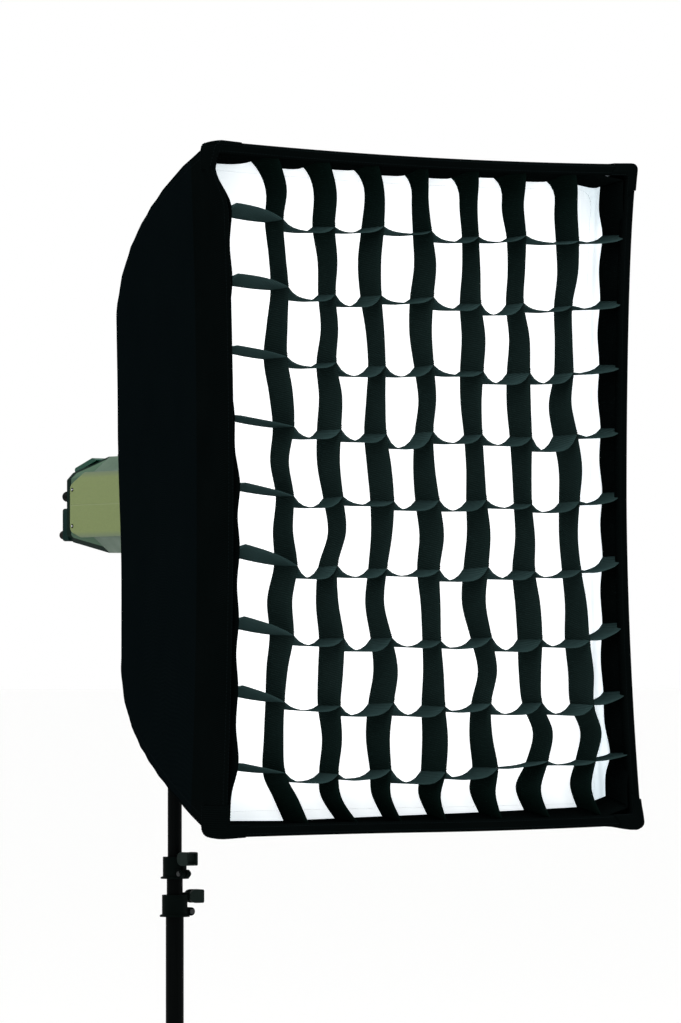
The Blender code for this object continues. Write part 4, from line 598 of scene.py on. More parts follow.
def sew(shape, path, outward, pitch=0.005, length=0.0036, width=0.0011):
    """Add a row of stitches along a path on a surface that faces outward."""
    outward = Vector(outward).normalized()
    spots = run_lengths(path)
    count = int(spots[-1] / pitch)
    index = 0
    for number in range(count):
        where = (number + 0.5) * pitch
        while spots[index + 1] < where:
            index += 1
        heading = (path[index + 1] - path[index]).normalized()
        centre = path[index] + heading * (where - spots[index])
        beside = heading.cross(outward).normalized() * width / 2
        ahead = heading * length / 2
        foot = [shape.verts.new(centre + step) for step in (-ahead, beside, ahead, -beside)]
        crest = shape.verts.new(centre + outward * width * STITCH_RISE)
        for near, far in zip(foot, foot[1:] + foot[:1]):
            shape.faces.new((near, far, crest))


def make_object(name, shape, *surfaces):
    """Turn a bmesh into a named object with its finishes."""
    mesh = bpy.data.meshes.new(name)
    shape.to_mesh(mesh)
    shape.free()
    for surface in surfaces:
        mesh.materials.append(surface)
    return put(name, mesh)


def make_piece(name, shape, body, *surfaces):
    """Turn a bmesh into a named piece that rides on a body."""
    piece = make_object(name, shape, *surfaces)
    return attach(piece, body)


def surface_of(piece):
    """The area of a piece's faces, in square metres."""
    return sum(face.area for face in piece.data.polygons)


def thicken(piece, thickness, inner_finish=0):
    """Give a sheet its thickness, away from its normals; the inner side may have another finish."""
    step = piece.modifiers.new("cloth_thickness", "SOLIDIFY")
    step.thickness = thickness
    step.offset = -1
    step.material_offset = inner_finish
    return piece


print("cloth helpers ready")

# %% [markdown]
# ## The shell's form
# Four steel rods bow outward from the ring and stretch the shell, so its sides are taut but not flat: seen
# from the front they draw in between the corners, and seen from the side they swell like a bell. The same
# curve as the solid's gives each ring of the shell; on top of it come the small folds of sewn cloth.

# %% Sections of the shell
LIP_START = FRONT_REACH - LIP_STRAIGHT
SIGNS = ((1, 1), (-1, 1), (-1, -1), (1, -1))
PER_CORNER, PER_SIDE = 5, 36


def bow(share):
    """The share of the way out to the corner, and the distance forward, at a share of the curve."""
    rest = 1 - share
    first, second, last = 3 * rest**2 * share, 3 * rest * share**2, share**3
    forward = first * 0.015 + second * 0.033 + last
    return first * 0.385 + second * 0.60 + last, SHELL_START + forward * (LIP_START - SHELL_START)


def shell_half(way):
    """Half the shell's width and height at a share of the way to its corner."""
    return SHELL_SEAT + way * (WIDTH / 2 - SHELL_SEAT), SHELL_SEAT + way * (HEIGHT / 2 - SHELL_SEAT)


def draw_in(x, z, half_width, half_height):
    """Pull the sides of a section inward, most at their middles; the lower side hangs almost straight."""
    pull_x = EDGE_DRAW * (2 * half_height) ** 2 * (1 - (z / half_height) ** 2)
    pull_z = EDGE_DRAW * (2 * half_width) ** 2 * (1 - (x / half_width) ** 2) * (1.0 if z > 0 else 0.4)
    return x * (1 - pull_x / half_width), z * (1 - pull_z / half_height)


def outline(half_width, half_height, corners):
    """Points round a four-sided section with four corner radii, from the right side's top."""
    points = []
    for quarter, (sign_x, sign_z) in enumerate(SIGNS):
        corner = corners[quarter]
        centre = (sign_x * (half_width - corner), sign_z * (half_height - corner))
        for step in range(PER_CORNER):
            angle = math.radians(90 * (quarter + step / (PER_CORNER - 1)))
            points.append((centre[0] + corner * math.cos(angle), centre[1] + corner * math.sin(angle)))
        next_x, next_z = SIGNS[(quarter + 1) % 4]
        corner = corners[(quarter + 1) % 4]
        angle = math.radians(90 * (quarter + 1))
        end = (
            next_x * (half_width - corner) + corner * math.cos(angle),
            next_z * (half_height - corner) + corner * math.sin(angle),
        )
        start = points[-1]
        for step in range(1, PER_SIDE):
            share = step / PER_SIDE
            points.append((start[0] + (end[0] - start[0]) * share, start[1] + (end[1] - start[1]) * share))
    return [draw_in(x, z, half_width, half_height) for x, z in points]


def share_at(forward):
    """The share of the shell's curve that lies this far in front of the column."""
    low, high = 0.0, 1.0
    for _ in range(40):
        centre = (low + high) / 2
        low, high = (centre, high) if bow(centre)[1] < forward else (low, centre)
    return low


# The rods pull the lower right corner out and up, and the upper right one out. The pull starts this far in
# front of the column and is whole at the lip.
LOW_PULL, LOW_LIFT, HIGH_PULL, PULL_START = 0.016, 0.009, 0.007, 0.2
# The flare's width, its reach back from the lip, its start above the axis, and the height it grows over.
FLARE, FLARE_DEPTH, FLARE_START, FLARE_LENGTH = 0.019, 0.055, 0.408, 0.054
# Past its widest place, about 40 mm below the corner, the flare falls to this share of itself at the tip.
FLARE_END, FLARE_FALL = 0.2, 0.030


def share_of(value):
    """A value kept between 0 and 1."""
    return max(0.0, min(1.0, value))


def cloth_at(across, forward, up):
    """A point of the cloth; the right corners are pulled out by their rods, the upper left lip is flared."""
    rightness, height = max(0.0, 2 * across / WIDTH), 2 * up / HEIGHT
    tension = rightness**2 * max(0.0, (forward - PULL_START) / (FRONT_REACH - PULL_START))
    low, high = tension * max(0.0, -height) ** 1.5, tension * max(0.0, height) ** 6
    climb = share_of((up - FLARE_START) / FLARE_LENGTH)
    fall = share_of((up - FLARE_START - FLARE_LENGTH) / FLARE_FALL)
    flare = max(0.0, -2 * across / WIDTH) ** 6 * climb**2 * (3 - 2 * climb) * (1 - (1 - FLARE_END) * fall)
    flare *= max(0.0, 1 - (FRONT_REACH - forward) / FLARE_DEPTH)
    outward = LOW_PULL * low + HIGH_PULL * high - FLARE * flare
    return at(across + outward, forward, up + LOW_LIFT * low)


section = [round(2 * half, 3) for half in shell_half(bow(share_at(0.3))[0])]
print("shell is", section, "wide and high at 0.3 m")

# %% [markdown]
# ## The shell as sewn cloth
# The shell is four tapering panels of black nylon with a silver coating inside. Tight cloth still shows
# where it is held: it gathers in small pleats at the elastic behind the ring, and short creases run off
# the corner seams. Both are sums of sine waves that die away, added along the outward direction.

# %% Rings of the shell
RING_COUNT = len(SIGNS) * (PER_CORNER + PER_SIDE - 1)
# Between the ring and the lip the upper cloth swells past its taut form; the lower cloth stays on its rods.
SWELL, TOP_SWELL, RISE, LOW_RISE = 0.009, 0.010, 0.014, 0.002
# Near the ring all corners are rounder, and at the lip the lower left one has worn rounder than the others.
RING_ROUND = 0.045
EXTRA_ROUND = (0.0, 0.0, 0.006, 0.0)
# How high the pleats at the ring, the creases at the seams and the slack between them stand.
PLEAT, CREASE, SLACK = 0.0020, 0.0007, 0.0012


def folds(index, way, forward):
    """How far the cloth stands out of its taut form at one point of a ring."""
    side_share = (index % (RING_COUNT // 4) - PER_CORNER) / PER_SIDE
    from_corner = max(0.0, min(side_share, 1 - side_share))
    panel = index // (RING_COUNT // 4)
    pleats = PLEAT * (1 - way) ** 6 * math.cos(math.pi * index)
    creases = CREASE * math.sin(forward * 125 + 1.7 * panel) * math.exp(-from_corner / 0.07)
    slack = SLACK * math.sin(9 * side_share + 14 * forward + 2 * panel) * from_corner * 2
    return pleats + (creases + slack) * min(1.0, 6 * (FRONT_REACH - forward))


def shell_ring(share, proud=0.0):
    """One ring of the shell, folds included."""
    way, forward = bow(share)
    half_width, half_height = shell_half(way)
    corners = [CORNER_RADIUS + RING_ROUND * (1 - way) ** 2 + extra * way for extra in EXTRA_ROUND]
    ring = []
    for index, (x, z) in enumerate(outline(half_width, half_height, corners)):
        out = Vector((x / half_width, z / half_height))
        high = share_of(0.5 + 0.5 * out.y)
        swell = SWELL * share_of(0.75 + 0.75 * out.y) - (SWELL - TOP_SWELL) * max(0.0, out.y)
        out = Vector((out.x**9, out.y**9)).normalized()
        out *= proud + folds(index, way, forward) + swell * math.sin(math.pi * way) ** 2
        rise = (LOW_RISE + (RISE - LOW_RISE) * high) * math.sin(math.pi * way**3.5)
        ring.append(cloth_at(x + out.x, forward, z + out.y + rise))
    return ring


# The tightest corner that the tape can turn, and how far down the hem stays narrow at the top left.
LEAST_RADIUS, TOP_CORNER = 0.004, 0.085


def lip_ring(inset, forward):
    """A ring of the straight lip and its turned hem, which is narrower on the left and at its top corner."""
    corners = [max(CORNER_RADIUS + extra - inset, LEAST_RADIUS) for extra in EXTRA_ROUND]
    ring = []
    for x, z in outline(WIDTH / 2 - inset, HEIGHT / 2 - inset, corners):
        leftness = share_of(-40 * (x / WIDTH + 0.44))
        topness = max(0.0, 1 - (HEIGHT / 2 - z) / TOP_CORNER)
        drawn = leftness * (0.25 + 0.55 * topness) * inset
        ring.append(cloth_at(x - drawn - 0.006 * leftness * topness**2, forward, z))
    return ring


# %% Sew the shell
DIFFUSER_REACH = COLUMN_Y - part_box("front_diffuser")[1].y
# The rings start a little along the curve, where the cloth leaves the ring, and run over the rest of it.
FIRST_SHARE, REST_SHARE, RING_STEPS = 0.07, 0.93, 40
shell = bmesh.new()
rings = [shell_ring(FIRST_SHARE + REST_SHARE * step / RING_STEPS) for step in range(RING_STEPS + 1)]
# Behind the ring the cloth is gathered inward by its elastic until it lies on the ring's rear face.
ring_back = COLUMN_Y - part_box("speedring")[1].y
GATHER_RADIUS, GATHER_GAP, PUCKER = 0.0775, 0.0022, 0.0007
gathers = []
for share in (1.0, 0.8, 0.55, 0.3, 0.1):
    gather = []
    for index, point in enumerate(rings[0]):
        x, up = point.x, point.z - AXIS_Z
        reach = math.hypot(x, up)
        radius = reach + (GATHER_RADIUS - reach) * share
        pucker = PUCKER * math.cos(math.pi * index / 2) * math.sin(math.pi * share)
        forward = COLUMN_Y - point.y + (ring_back - GATHER_GAP - (COLUMN_Y - point.y)) * min(1.0, 1.4 * share)
        gather.append(at(x / reach * radius, forward - pucker, up / reach * radius))
    gathers.append(gather)
# The lip's rings, by their distance inside the outline and behind the front: straight, round the edge, hem.
lip = [
    lip_ring(inset, FRONT_REACH - back) for inset, back in (
        (0.0000, 0.022), (0.0000, 0.013), (0.0000, 0.007), (0.0006, 0.003), (0.0025, 0.0006),
        (0.0055, 0.0), (HEM_WIDTH - 0.003, 0.0), (HEM_WIDTH - 0.0008, 0.0008), (HEM_WIDTH, 0.003),
        (HEM_WIDTH, 0.012))
]
lay_sheet(shell, gathers + rings + lip, True)
# From a little behind the front sheet to the lip, the shell is lined and bound with hem tape.
BOUND_FROM, BOUND_FINISH = DIFFUSER_REACH - 0.014, 2
for face in shell.faces:
    if COLUMN_Y - face.calc_center_median().y > BOUND_FROM:
        face.material_index = BOUND_FINISH
shell_piece = make_piece("shell_cloth", shell, "softbox", shell_nylon, lining, hem_tape, hem_tape)
thicken(shell_piece, 0.0012, 1)
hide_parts("softbox_shell")

# %% [markdown]
# ## Seams, piping and corner pockets
# Each corner seam is closed with a thin piping and a row of stitches either side. Round the lip, two rows
# of stitches hold the folded hem. At the four front corners a pocket of tape takes the tip of a rod; it is
# pulled tight by the rod, so it bulges a little past the hem.

# %% Corner piping and seam stitches
CORNER_POINTS = [quarter * (PER_CORNER + PER_SIDE - 1) for quarter in range(4)]
# The radii of the elastic and of the piping, how far a seam runs from its corner, how proud stitches stand.
ELASTIC_RADIUS, PIPING_RADIUS, SEAM_GAP, PROUD = 0.0019, 0.0017, 0.005, 0.0002
piping = bmesh.new()
seams = bmesh.new()
# An elastic cord in a narrow channel closes the shell behind the ring.
lay_cord(piping, [point + Y * 0.0008 for point in gathers[0] + gathers[0][:1]], ELASTIC_RADIUS)
for quarter, (start, (sign_x, sign_z)) in enumerate(zip(CORNER_POINTS, SIGNS)):
    lay_cord(piping, [ring[start + PER_CORNER // 2] for ring in rings + lip[:5]], PIPING_RADIUS)
    # The two panels that meet here face sideways and up or down; every second corner starts with the other.
    facings = [sign_x * X, sign_z * Z]
    if quarter % 2:
        facings.reverse()
    end = start + PER_CORNER - 1
    for inner, beside, facing in zip((start, end), (start - 1, end + 1), facings):
        path = [
            ring[inner] + (ring[beside % RING_COUNT] - ring[inner]).normalized() * SEAM_GAP + facing * PROUD
            for ring in rings[3:]
        ]
        sew(seams, path, facing)
for inset in (0.0045, 0.0145):
    path = [point + FORWARD * PROUD for point in lip_ring(inset, FRONT_REACH)]
    sew(seams, path + path[:1], FORWARD)
piping_piece = make_piece("corner_piping", piping, "softbox", hem_tape)
seam_piece = make_piece("shell_stitches", seams, "softbox", thread)
print("stitches:", len(seam_piece.data.polygons) // 4)

# %% Rod pockets at the front corners
POCKET_REACH = 0.030
# How far each pocket swells, from the top right round by the top left to the bottom right.
POCKET_BULGE = (0.0004, 0.0008, 0.0015, 0.0070)
# The share of the hem that each pocket's front flap covers, in the same order.
POCKET_COVER = (1.0, 0.3, 1.0, 1.0)


def pocket_row(quarter, inset, bulge, forward):
    """Points of a pocket's tape round one corner of the lip; the bulge fades along its two arms."""
    arm = ((1.0, 0.0), (0.66, 0.25), (0.33, 0.75))
    flat = [(0.0, -POCKET_REACH * share, 0.0, fade) for share, fade in arm]
    flat += [(0.0, 0.0, 15.0 * step, 1.0) for step in range(7)]
    flat += [(-POCKET_REACH * share, 0.0, 90.0, fade) for share, fade in arm[::-1]]
    sign_x, sign_z = SIGNS[quarter]
    corner = max(CORNER_RADIUS + EXTRA_ROUND[quarter] - inset, LEAST_RADIUS)
    points = []
    for along_x, along_z, angle, fade in flat:
        half_width = WIDTH / 2 - inset + bulge * fade
        half_height = HEIGHT / 2 - inset + bulge * fade
        x = half_width - corner + corner * math.cos(math.radians(angle)) + along_x
        z = half_height - corner + corner * math.sin(math.radians(angle)) + along_z
        points.append(draw_in(sign_x * x, sign_z * z, half_width, half_height))
    if quarter % 2:
        points = points[::-1]
    return [cloth_at(x, forward, z) for x, z in points]


# The rows of a pocket's tape: how far behind the lip, how far inside its outline, the share of the bulge.
POCKET_ROWS = (
    (0.048, -0.0006, 0.0), (0.040, -0.0010, 0.4), (0.026, -0.0010, 1.0), (0.012, -0.0010, 1.0),
    (0.004, -0.0010, 0.7), (0.0006, -0.0004, 0.4), (-0.0010, 0.0020, 0.2), (-0.0012, 0.0110, 0.0),
    (-0.0008, 0.0172, 0.0),
)
pockets = bmesh.new()
pocket_seams = bmesh.new()
for quarter in range(4):
    bulge = POCKET_BULGE[quarter]
    rows = []
    for back, inset, share in POCKET_ROWS:
        covered = inset * POCKET_COVER[quarter] if inset > 0.0 else inset
        rows.append(pocket_row(quarter, covered, bulge * share, FRONT_REACH - back))
    lay_sheet(pockets, rows)
    # The rear row of stitches faces away from the light's axis, the front row forward.
    away = rows[0][6] - at(0, 0.64, 0)
    for row, facing in ((rows[0], away), (rows[-1], FORWARD)):
        sew(pocket_seams, row, facing, 0.004, 0.003)
pocket_piece = thicken(make_piece("rod_pockets", pockets, "softbox", hem_tape), 0.0008)
pocket_thread = make_piece("rod_pocket_stitches", pocket_seams, "softbox", thread)
print("pockets:", len(pocket_piece.data.polygons), "faces")

# %% Elastic cuff behind the ring
cuff = bmesh.new()
CUFF_STEPS, CUFF_STEP = 5, 0.008
cuff_rings = [
    shell_ring(FIRST_SHARE + CUFF_STEP * step, 0.0014 + 0.0006 * math.sin(math.pi * step / CUFF_STEPS))
    for step in range(CUFF_STEPS + 1)
]
lay_sheet(cuff, cuff_rings, True)
cuff_piece = thicken(make_piece("elastic_cuff", cuff, "softbox", hem_tape), 0.0010)

# %% [markdown]
# ## The two white sheets
# The front sheet fills the box a hand's breadth behind the lip, and a smaller baffle hangs from the rods
# further in. A stretched sheet is not a flat plane: the lamp's warmth and the elastic let it belly a few
# millimetres, and small tension folds run in from its edge. Rings shrunk towards the middle make it easy
# to write both as functions of the distance from the edge.

# %% Sheets from an outline


def white_sheet(edge_points, forward, belly, pucker, flange=()):
    """Rings from a hair inside the edge to the middle, bellied forward and puckered at the edge."""
    shares = [1.0, 0.985, 0.965, 0.94, 0.90, 0.84, 0.74, 0.62, 0.48, 0.33, 0.18, 0.05]
    rows = []
    for share in shares:
        row = []
        for index, (x, z) in enumerate(edge_points):
            turn = 2 * math.pi * index / len(edge_points)
            ripple = pucker * math.sin(23 * turn) * math.sin(3 * turn + 1) * share**18 * (1 - share) * 30
            row.append(cloth_at(x * share, forward + belly * (1 - share**2) + ripple, z * share))
        rows.append(row)
    shape = bmesh.new()
    corners = lay_sheet(shape, list(flange) + rows, True)
    shape.faces.new(corners[-1][:len(edge_points)]).smooth = True
    layer = shape.loops.layers.uv.verify()
    for face in shape.faces:
        for loop in face.loops:
            loop[layer].uv = (loop.vert.co.x, loop.vert.co.z)
    return shape, rows


# On the right the edge is turned forward along the shell's wall as a flange, held by hook-and-loop tape.
# It grows to its whole width from this share of the sheet's half width, over the next share.
FLANGE, FLANGE_FROM, FLANGE_GROWTH = 0.021, 0.88, 0.07
# The sheet's clearance to the shell's wall, and its corner radii from the top right round by the top left.
SHEET_GAP, SHEET_CORNERS = 0.0035, (0.026, 0.014, 0.026, 0.026)


def sheet_edge(forward):
    """The sheet's outline, a hair inside the shell's wall at this distance in front of the column."""
    half_width, half_height = shell_half(bow(share_at(forward))[0])
    return outline(half_width - SHEET_GAP, half_height - SHEET_GAP, SHEET_CORNERS)


front_edge, outer_edge = sheet_edge(DIFFUSER_REACH), sheet_edge(DIFFUSER_REACH + FLANGE)
front_half = [max(abs(point[axis]) for point in front_edge) for axis in (0, 1)]


def flange_row(share):
    """A line of the flange, at a share of its width."""
    row = []
    for (x, z), (outer_x, outer_z) in zip(front_edge, outer_edge):
        turned = share * max(0.03, min(1.0, (x / front_half[0] - FLANGE_FROM) / FLANGE_GROWTH))
        x, z = x + (outer_x - x) * turned, z + (outer_z - z) * turned
        row.append(cloth_at(x, DIFFUSER_REACH + FLANGE * turned, z))
    return row


flange = [flange_row(share) for share in (1.0, 0.66, 0.33)]
shape, rows = white_sheet(front_edge, DIFFUSER_REACH - 0.0010, 0.006, 0.0010, flange)
front_sheet = make_piece("front_sheet", shape, "softbox", glow)
thicken(front_sheet, 0.0006)
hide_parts("front_diffuser")
hem_seam = bmesh.new()
sew(hem_seam, [point + FORWARD * 0.0004 for point in rows[2] + rows[2][:1]], FORWARD)
make_piece("front_sheet_stitches", hem_seam, "softbox", plain_white)
print("front sheet:", round(surface_of(front_sheet), 3), "square metres")

# %% The inner baffle with its corner tabs
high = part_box("inner_baffle")[1]
tip = Vector((high.x, high.z - AXIS_Z))
# The baffle's own corner and the tab's end lie at these shares of the way out to the tip.
body_corner, tab_end = tip * 0.835, tip * 0.985
half_tab = Vector((-tip.y, tip.x)).normalized() * 0.006
baffle_edge = []
for quarter, (sign_x, sign_z) in enumerate(SIGNS):
    tab = [
        body_corner + Vector((0, -0.014)), tab_end - half_tab, tab_end + half_tab,
        body_corner + Vector((-0.014, 0)),
    ]
    baffle_edge += [(sign_x * point.x, sign_z * point.y) for point in (tab[::-1] if quarter % 2 else tab)]
fine_edge = []
for (x, z), (next_x, next_z) in zip(baffle_edge, baffle_edge[1:] + baffle_edge[:1]):
    count = max(2, int(math.hypot(next_x - x, next_z - z) / 0.02))
    fine_edge += [(x + (next_x - x) * step / count, z + (next_z - z) * step / count) for step in range(count)]
shape, _ = white_sheet(fine_edge, COLUMN_Y - high.y + 0.0002, 0.003, 0.0015)
baffle = make_piece("inner_baffle_sheet", shape, "softbox", plain_white)
thicken(baffle, 0.0005)
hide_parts("inner_baffle")

# %% [markdown]
# ## The egg-crate grid
# The grid is a lattice of ribbed tape, 45 mm deep, sewn edge to edge and buttoned inside the lip. Nothing
# stretches it, so every strip wanders: the uprights snake from crossing to crossing, and the cross strips
# hang between them so that now the upper face shows and now the lower one. Each strip is drawn by its
# crossings and by the middles between them: an upright is one smooth curve through all of these, and a
# cross strip hangs in each cell by itself.

# %% Crossings and middles of the grid
COLUMNS, ROWS = 8, 10
GRID_BACK = COLUMN_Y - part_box("egg_crate_grid")[1].y
GRID_FRONT = COLUMN_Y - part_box("egg_crate_grid")[0].y
# How far a strip sags, its clearance to the shell, and the power that shapes the curve it hangs in.
GRID_SAG, GRID_GAP, SAG_POWER = 0.011, 0.0051, 3.6
# The share of its freedom that the cloth has at a strip's back edge and middle, and how much the front adds.
BACK_SLACK, MIDDLE_SLACK, ADDED_SLACK = 0.4, 0.7, 0.6
# How far the border's corners are tucked in, by column and row.
CORNER_TUCK = {(0, ROWS): -0.001, (0, 0): 0.004, (COLUMNS, 0): 0.014, (COLUMNS, ROWS): 0.014}
grid_half = [half - GRID_GAP for half in shell_half(bow(share_at(GRID_BACK))[0])]
# In millimetres for the rows from the top down: how far the inner crossings sink, how high the left and
# right ends are buttoned, how far the borders lean in, how far the first cell's front edge curls up; and the
# share of the usual sag that the strips of a row have.
SINK = (0, 0, 2, 6, 8, 10, 13, 19, 18, 18, 0)
FIRST_SINK = (0, 0, 1, 4, 5, 6, 8, 11, 11, 18, 0)
LEFT_RISE = (0, 11, 10, 12, 12, 10, 12, 6, 6, -4, 0)
RIGHT_RISE = (0, 12, 12, 14, 7, 7, 7, 3, -3, -14, 0)
LEFT_LEAN = (0, 9, 7, 4, 7, 16, 16, 16, 17, 21, 5)
RIGHT_LEAN = (8, 12, 12, 11, 7, 3, 4, 8, 11, 5, 5)
CURL = (0, 14, 13, 7, 4, 6, 12, 10, 8, 4, 0)
HANG = (0.6, 0.6, 0.9, 1.0, 1.2, 0.9, 1.0, 1.0, 1.0, 1.0, 0.0)
# To the right the lowest inner strip climbs and the three upper ones drop, by this much for each column.
LOW_CLIMB, HIGH_DROP = 0.004, 0.0018
# How far each inner upright stands to the right of its even place, in millimetres: at its upper end, in the
# middle of the first cell, at the first crossing, and so on down to its lower end.
WANDER = (
    (0, 14, 8, 12, 15, 10, 6, 15, 19, 12, 21, 18, 23, 13, 17, 10, 7, 6, 8, 30, 51),
    (0, 9, 5, 11, 9, 13, 7, 14, 11, 10, 18, 25, 9, 8, 16, 15, 13, 19, 14, 20, 49),
    (0, 6, 2, -4, -2, 5, 8, 6, 5, 12, 17, 16, 9, 4, 16, 24, 16, 11, 16, 18, 39),
    (0, -3, 1, 6, 0, -2, 4, 10, 4, 4, 10, 18, 12, 16, 18, 21, 21, 24, 21, 14, 28),
    (-2, -6, -2, 0, -1, 5, 2, 1, 5, 9, 11, 15, 10, 6, 19, 30, 18, 17, 24, 19, 33),
    (-8, -16, -8, -7, -9, 0, -1, 0, 4, 6, 8, 12, 9, 16, 19, 18, 21, 39, 27, 10, 25),
    (-6, -9, -4, -2, -9, -7, -6, -12, -2, 8, 6, 4, 9, 16, 17, 22, 22, 36, 24, 13, 26),
)


def wander(column, row, slack):
    """How far an inner upright is from its even place; its front and back edges part where it twists."""
    down = ROWS - row
    twist = 0.003 + 0.006 * down / ROWS + 0.006 * math.sin(1.9 * row + 1.3 * column)
    return WANDER[column - 1][round(2 * down)] / 1000 + (slack - MIDDLE_SLACK) / ADDED_SLACK * twist


def crossing(column, row, slack):
    """Where two strips cross; slack is the share of the cloth's freedom at this depth of the strips."""
    half_width, half_height = grid_half
    x, z = half_width * (2 * column / COLUMNS - 1), half_height * (2 * row / ROWS - 1)
    if (column, row) in CORNER_TUCK:
        tuck = CORNER_TUCK[column, row]
        x, z = x - math.copysign(1, x) * tuck, z - math.copysign(max(tuck, 0.002), z)
    place = Vector(draw_in(x, z, half_width, half_height))
    down = ROWS - row
    front = (slack - BACK_SLACK) / ADDED_SLACK
    if column == 0:
        place += Vector((LEFT_LEAN[down] * front, LEFT_RISE[down])) / 1000
    elif column == COLUMNS:
        place.x -= RIGHT_LEAN[down] / 1000 * (1 - front)
        place.y += RIGHT_RISE[down] / 1000
    else:
        place.x += wander(column, row, slack)
        place.y -= (FIRST_SINK if column == 1 else SINK)[down] / 1000
    # The border's back edge sags along the top and rides up along the bottom, most at the right.
    if row == 0:
        place.y += 0.003 + (0.005 + 0.012 * column / COLUMNS) * (1 - front)
    elif row == ROWS:
        place.y -= 0.006 * (1 - front)
    else:
        place.y += slack * 0.3 * GRID_SAG * math.sin(2.3 * column + 0.7 * row)
        if row == 1:
            place.y += LOW_CLIMB * max(0, column - 4)
        elif down <= 3:
            place.y -= HIGH_DROP * max(0, column - 3)
    return place


def between(column, row, upright, slack):
    """The middle of a strip between two crossings, where the loose cloth bows or hangs."""
    start = crossing(column, row, slack)
    if upright:
        centre = (start + crossing(column, row + 1, slack)) / 2
        if 0 < column < COLUMNS:
            held = (wander(column, row, slack) + wander(column, row + 1, slack)) / 2
            centre.x += wander(column, row + 0.5, slack) - held
        else:
            centre.x -= 0.004
        return centre
    centre = (start + crossing(column + 1, row, slack)) / 2
    if column == 0 and 0 < row < ROWS:
        centre.y += CURL[ROWS - row] / 1000 * (slack - BACK_SLACK) / ADDED_SLACK - 0.003
    elif row > 0:
        hang = GRID_SAG * (1.26 + 0.18 * slack) * (0.95 + 0.30 * math.sin(2.1 * column + 1.3 * row))
        hang *= HANG[ROWS - row] * (0.65 if column == COLUMNS - 1 else 1.0)
        hang *= 0.3 if row == 1 and column > 4 else 1.0
        centre.y -= hang if row < ROWS else hang * (1 - slack) / ADDED_SLACK
    return centre


def hanging_line(points, steps):
    """A line that hangs by itself in each cell, so it has a corner at every crossing."""
    line = []
    for start in range(0, len(points) - 2, 2):
        first, low, last = points[start:start + 3]
        # The first cell bends most near its start, the last one past its middle.
        lean = 0.5 if start == 0 else 1.35 if start == len(points) - 3 else 1.0
        for step in range(steps):
            share = step / steps
            sag = 1 - abs(2 * share**lean - 1) ** SAG_POWER
            line.append(first.lerp(last, share) + (low - (first + last) / 2) * sag)
    return line + [points[-1]]


def smooth_line(points, steps):
    """A smooth curve through points, with this many steps between each two."""
    line = []
    for index in range(len(points) - 1):
        before, here = points[max(index - 1, 0)], points[index]
        there, after = points[index + 1], points[min(index + 2, len(points) - 1)]
        for step in range(steps):
            s = step / steps
            line.append(
                here + 0.5 * s * (there - before + s * (2 * before - 5 * here + 4 * there - after
                                                        + s * (3 * (here - there) + after - before))))
    return line + [points[-1]]


print("grid from", round(GRID_BACK, 3), "to", round(GRID_FRONT, 3), "m in front of the column")

# %% Painted shade on the ends of the grid's tape
# Painted shade: towards the lip the tape turns deep black, as less light from the glowing sheet reaches its
# ends.
SHADE_FROM, SHADE_TO = 0.28, 0.46
tree = grid_tape.node_tree
shader = tree.nodes["Principled BSDF"]
lit_tape = shader.inputs["Base Color"].links[0].from_socket
height = add(tree, "SeparateXYZ", {0: add(tree, "TexCoord").outputs["Object"]}).outputs["Z"]
above = add(tree, "Math", {0: height, 1: AXIS_Z}, operation="SUBTRACT").outputs[0]
away = add(tree, "Math", {0: above}, operation="ABSOLUTE").outputs[0]
end_shade = add(tree, "MapRange", {"Value": away, "From Min": SHADE_FROM, "From Max": SHADE_TO}).outputs[0]
shade = add(tree, "Mix", {0: end_shade, 6: lit_tape, 7: linear("#050d0b")}, data_type="RGBA")
feed(shader, {"Base Color": shade.outputs[2]})
print("grid tape: deep black from", SHADE_TO, "m above and below the axis")

# %% Weave the grid
DEPTH_STEPS, UPRIGHT_STEPS, CROSS_STEPS = 5, 6, 10
# Over its last steps at the top, an inner upright leans to the left, its back edge further, and that edge is
# drawn to the rear. This pull grows from a share of itself at the left to its whole at the right.
TOP_STEPS, LEAST_PULL = 5, 0.25
TOP_LEAN, BACK_LEAN, BACK_DRAW = 0.010, 0.014, 0.020


def strip_rows(number, upright):
    """The points of one strip: one line for each step from its back edge to its front edge."""
    lines = []
    count = ROWS if upright else COLUMNS
    for step in range(DEPTH_STEPS):
        share = step / (DEPTH_STEPS - 1)
        slack = BACK_SLACK + ADDED_SLACK * share
        marks = []
        for index in range(count):
            column, row = (number, index) if upright else (index, number)
            marks += [crossing(column, row, slack), between(column, row, upright, slack)]
        marks.append(crossing(number, count, slack) if upright else crossing(count, number, slack))
        line = smooth_line(marks, UPRIGHT_STEPS) if upright else hanging_line(marks, CROSS_STEPS)
        lines.append((share, line))
    inside = 0 < number < (COLUMNS if upright else ROWS)
    points = []
    for share, line in lines:
        row = []
        for index, place in enumerate(line):
            pull = max(0.0, 1 - (len(line) - 1 - index) / TOP_STEPS) ** 2 if upright and inside else 0.0
            pull *= LEAST_PULL + (1 - LEAST_PULL) * number / (COLUMNS - 1)
            forward = GRID_BACK + share * (GRID_FRONT - GRID_BACK) - BACK_DRAW * (1 - share) ** 2 * pull
            row.append(cloth_at(place.x - (TOP_LEAN + BACK_LEAN * (1 - share)) * pull, forward, place.y))
        points.append(row)
    return points


